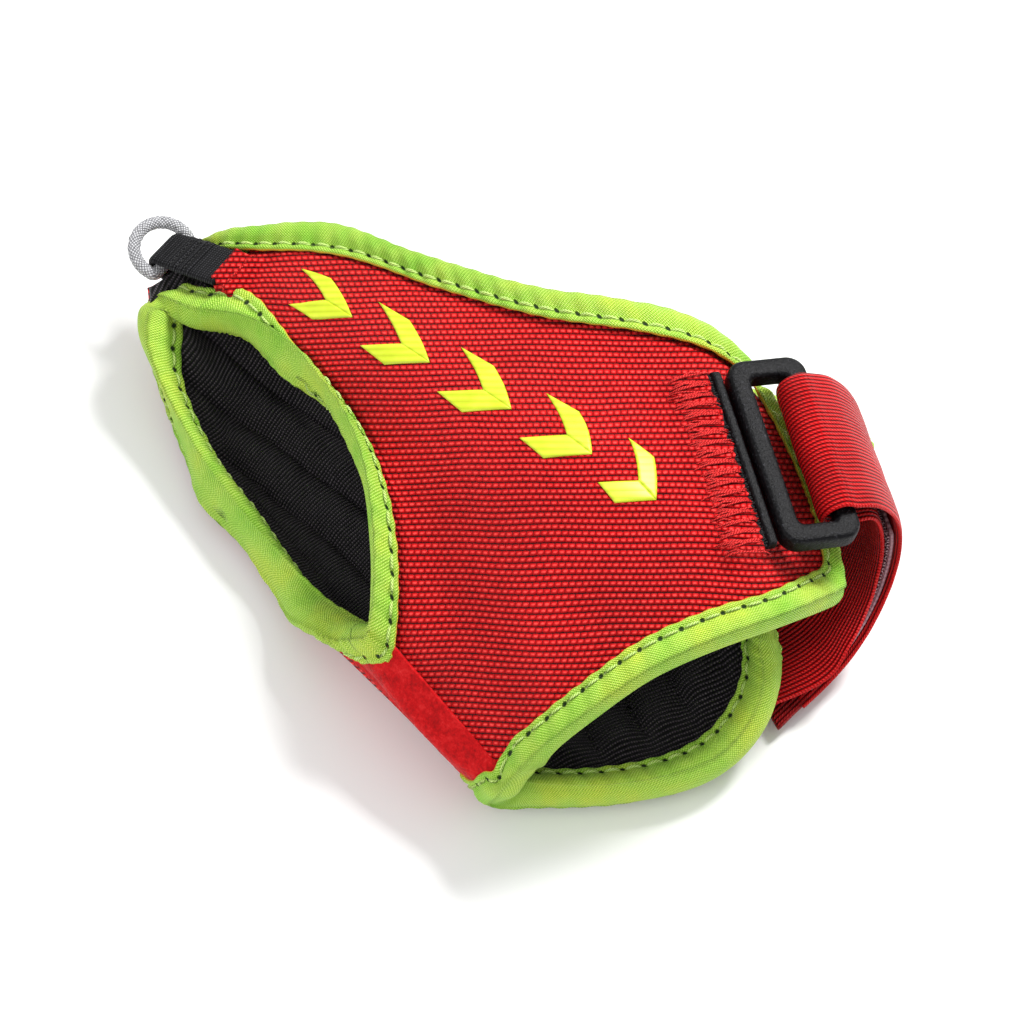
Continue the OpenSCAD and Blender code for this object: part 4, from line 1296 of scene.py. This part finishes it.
# The camera looks at the hand's back from the wrist's side. Places are in the row frame, in metres.
CAMERA_TARGET, CAMERA_DISTANCE, CAMERA_ELEVATION = (0.0013, -0.00648, 0.02), 0.56, math.radians(60)
CAMERA_LENS, CAMERA_SENSOR = 122, 36
WORLD_STRENGTH, FLOOR_GREY, FLOOR_DROP = 0.72, 0.9, 0.0004


def stage_and_camera():
    """The floor, the lights, the world and the camera. None of them is part of the object."""
    bpy.ops.mesh.primitive_plane_add(size=4, location=(0, 0, -FLOOR_DROP))
    floor = bpy.context.object
    floor.name = "floor"
    material = bpy.data.materials.new("pale_floor")
    material.use_nodes = True
    inputs = material.node_tree.nodes["Principled BSDF"].inputs
    inputs["Base Color"].default_value = (FLOOR_GREY, FLOOR_GREY, FLOOR_GREY, 1)
    inputs["Roughness"].default_value = 0.7
    floor.data.materials.append(material)
    world = bpy.data.worlds.new("studio")
    bpy.context.scene.world = world
    world.use_nodes = True
    background = world.node_tree.nodes["Background"].inputs
    background["Color"].default_value = (1, 1, 1, 1)
    background["Strength"].default_value = WORLD_STRENGTH

    def area(name, place, size, power):
        data = bpy.data.lights.new(name, "AREA")
        data.size = size
        data.energy = power
        lamp = bpy.data.objects.new(name, data)
        bpy.context.scene.collection.objects.link(lamp)
        lamp.location = place
        lamp.rotation_euler = (Vector((0, 0, 0.02)) - Vector(place)).to_track_quat("-Z", "Y").to_euler()

    area("key", (0.3, 0.3, 0.5), 0.18, 5.5)
    area("fill", (-0.45, -0.35, 0.4), 0.4, 1.6)

    bpy.context.scene.view_settings.view_transform = "Standard"
    data = bpy.data.cameras.new("camera")
    camera = bpy.data.objects.new("camera", data)
    bpy.context.scene.collection.objects.link(camera)
    back = Vector((0, -math.cos(CAMERA_ELEVATION), math.sin(CAMERA_ELEVATION)))
    camera.location = Vector(CAMERA_TARGET) + back * CAMERA_DISTANCE
    camera.rotation_euler = (-back).to_track_quat("-Z", "Y").to_euler()
    data.lens, data.sensor_width = CAMERA_LENS, CAMERA_SENSOR
    data.clip_start, data.clip_end = 0.01, 10
    bpy.context.scene.camera = camera


def make_seam_stitches():
    """A short row of stitches that holds the folded hem down over the tab."""
    paths = []
    for i in range(6):
        v = (i + np.linspace(0.22, 0.78, 7)) / 6 * 0.5 + 0.24
        u = 0 * v + HEM_INSET / PANEL_LENGTH
        base = cover_relief(surface(BACK, u, v), panel_normal(BACK, u, v), u, v)
        rise = 0.2 - 0.45 * np.abs(np.linspace(-1, 1, 7)) ** 4
        paths.append(base + panel_normal(BACK, u, v) * rise[:, None])
    return tubes("hem_stitches", paths, 0.2, MATERIALS["red_thread"], 7)


def settle(piece, body, slot, *nodes):
    """Says a piece's body and the CAD nodes it stands for, if any. Its slot is not used."""
    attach(piece, body)
    if nodes:
        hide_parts(*nodes)


def build():
    """Makes every piece, and says what it stands for and, for all but the strap's base and tail, its body.
    """
    stage_and_camera()
    tapes = thumb, finger, palm, wrist = make_tapes()
    stitches = (make_stitches("thumb_tape_stitches", [(thumb, True)]),
                make_stitches("finger_tape_stitches", [(finger, False), (palm, False)]),
                make_stitches("wrist_tape_stitches", [(wrist, False)]))
    # Each group of pieces, with the slot and the CAD node of each. A piece without a node is an extra one.
    groups = [
        (make_back_panel(), "harness", ("outer_fabric", "back_shell"), ("foam", "back_padding"),
         ("lining", "back_lining")),
        (make_palm_panel(), "harness", ("outer_fabric", "palm_shell"), ("foam", "palm_padding"),
         ("lining", "palm_lining")),
        (make_gusset(), "harness", ("brushed_fabric", "side_gusset"), ("lining", "gusset_lining")),
        ([tape[0] for tape in tapes], "harness", ("edge_tape", "thumb_binding"),
         ("edge_tape", "back_finger_binding"), ("edge_tape", "palm_finger_binding"),
         ("edge_tape", "wrist_binding")),
        (stitches, "harness", ("thread", "thumb_stitching"), ("thread", "finger_stitching"),
         ("thread", "wrist_stitching")),
        (make_tab(), "harness", ("webbing", "web_tab"), ("webbing_thread", "tab_stitching")),
        ([make_seam_stitches()], "harness", ("outer_fabric",)),
        ([make_cord()], "cord", ("cord", "cord_loop")),
        ([make_ring()], "ring", ("moulding", "buckle_ring")),
        ([make_flange()], "harness", ("moulding", "ring_flange")),
        (make_zigzag(), "harness", ("flange_thread", "flange_stitching"), ("outer_fabric",)),
        ([make_chevrons()], "harness", ("print", "printed_chevrons")),
        (make_hook_tape(), "tail", ("hook_tape", "hook_tape"), ("hook_tape",)),
        ([make_pull()], "tail", ("pull_tab", "tail_pull")),
    ]
    for pieces, body, *places in groups:
        for piece, (slot, *nodes) in zip(pieces, places):
            settle(piece, body, slot, *nodes)
    strap = make_strap()
    settle(strap["turn"], "ring", "strap", "strap_turn")
    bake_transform(strap["base"])
    hinge = from_ring([TURN_X + 0.9, 0, 3.4])
    onward = unit(0.6 * RING_OUT - np.array([0, 0, 0.8]))
    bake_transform(strap["tail"], "ring", "tail", start=row_point(hinge - onward * 0.3),
             end=row_point(hinge + onward * 3.0))
    for part in ("base", "tail"):
        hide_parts(f"strap_{part}")


build()
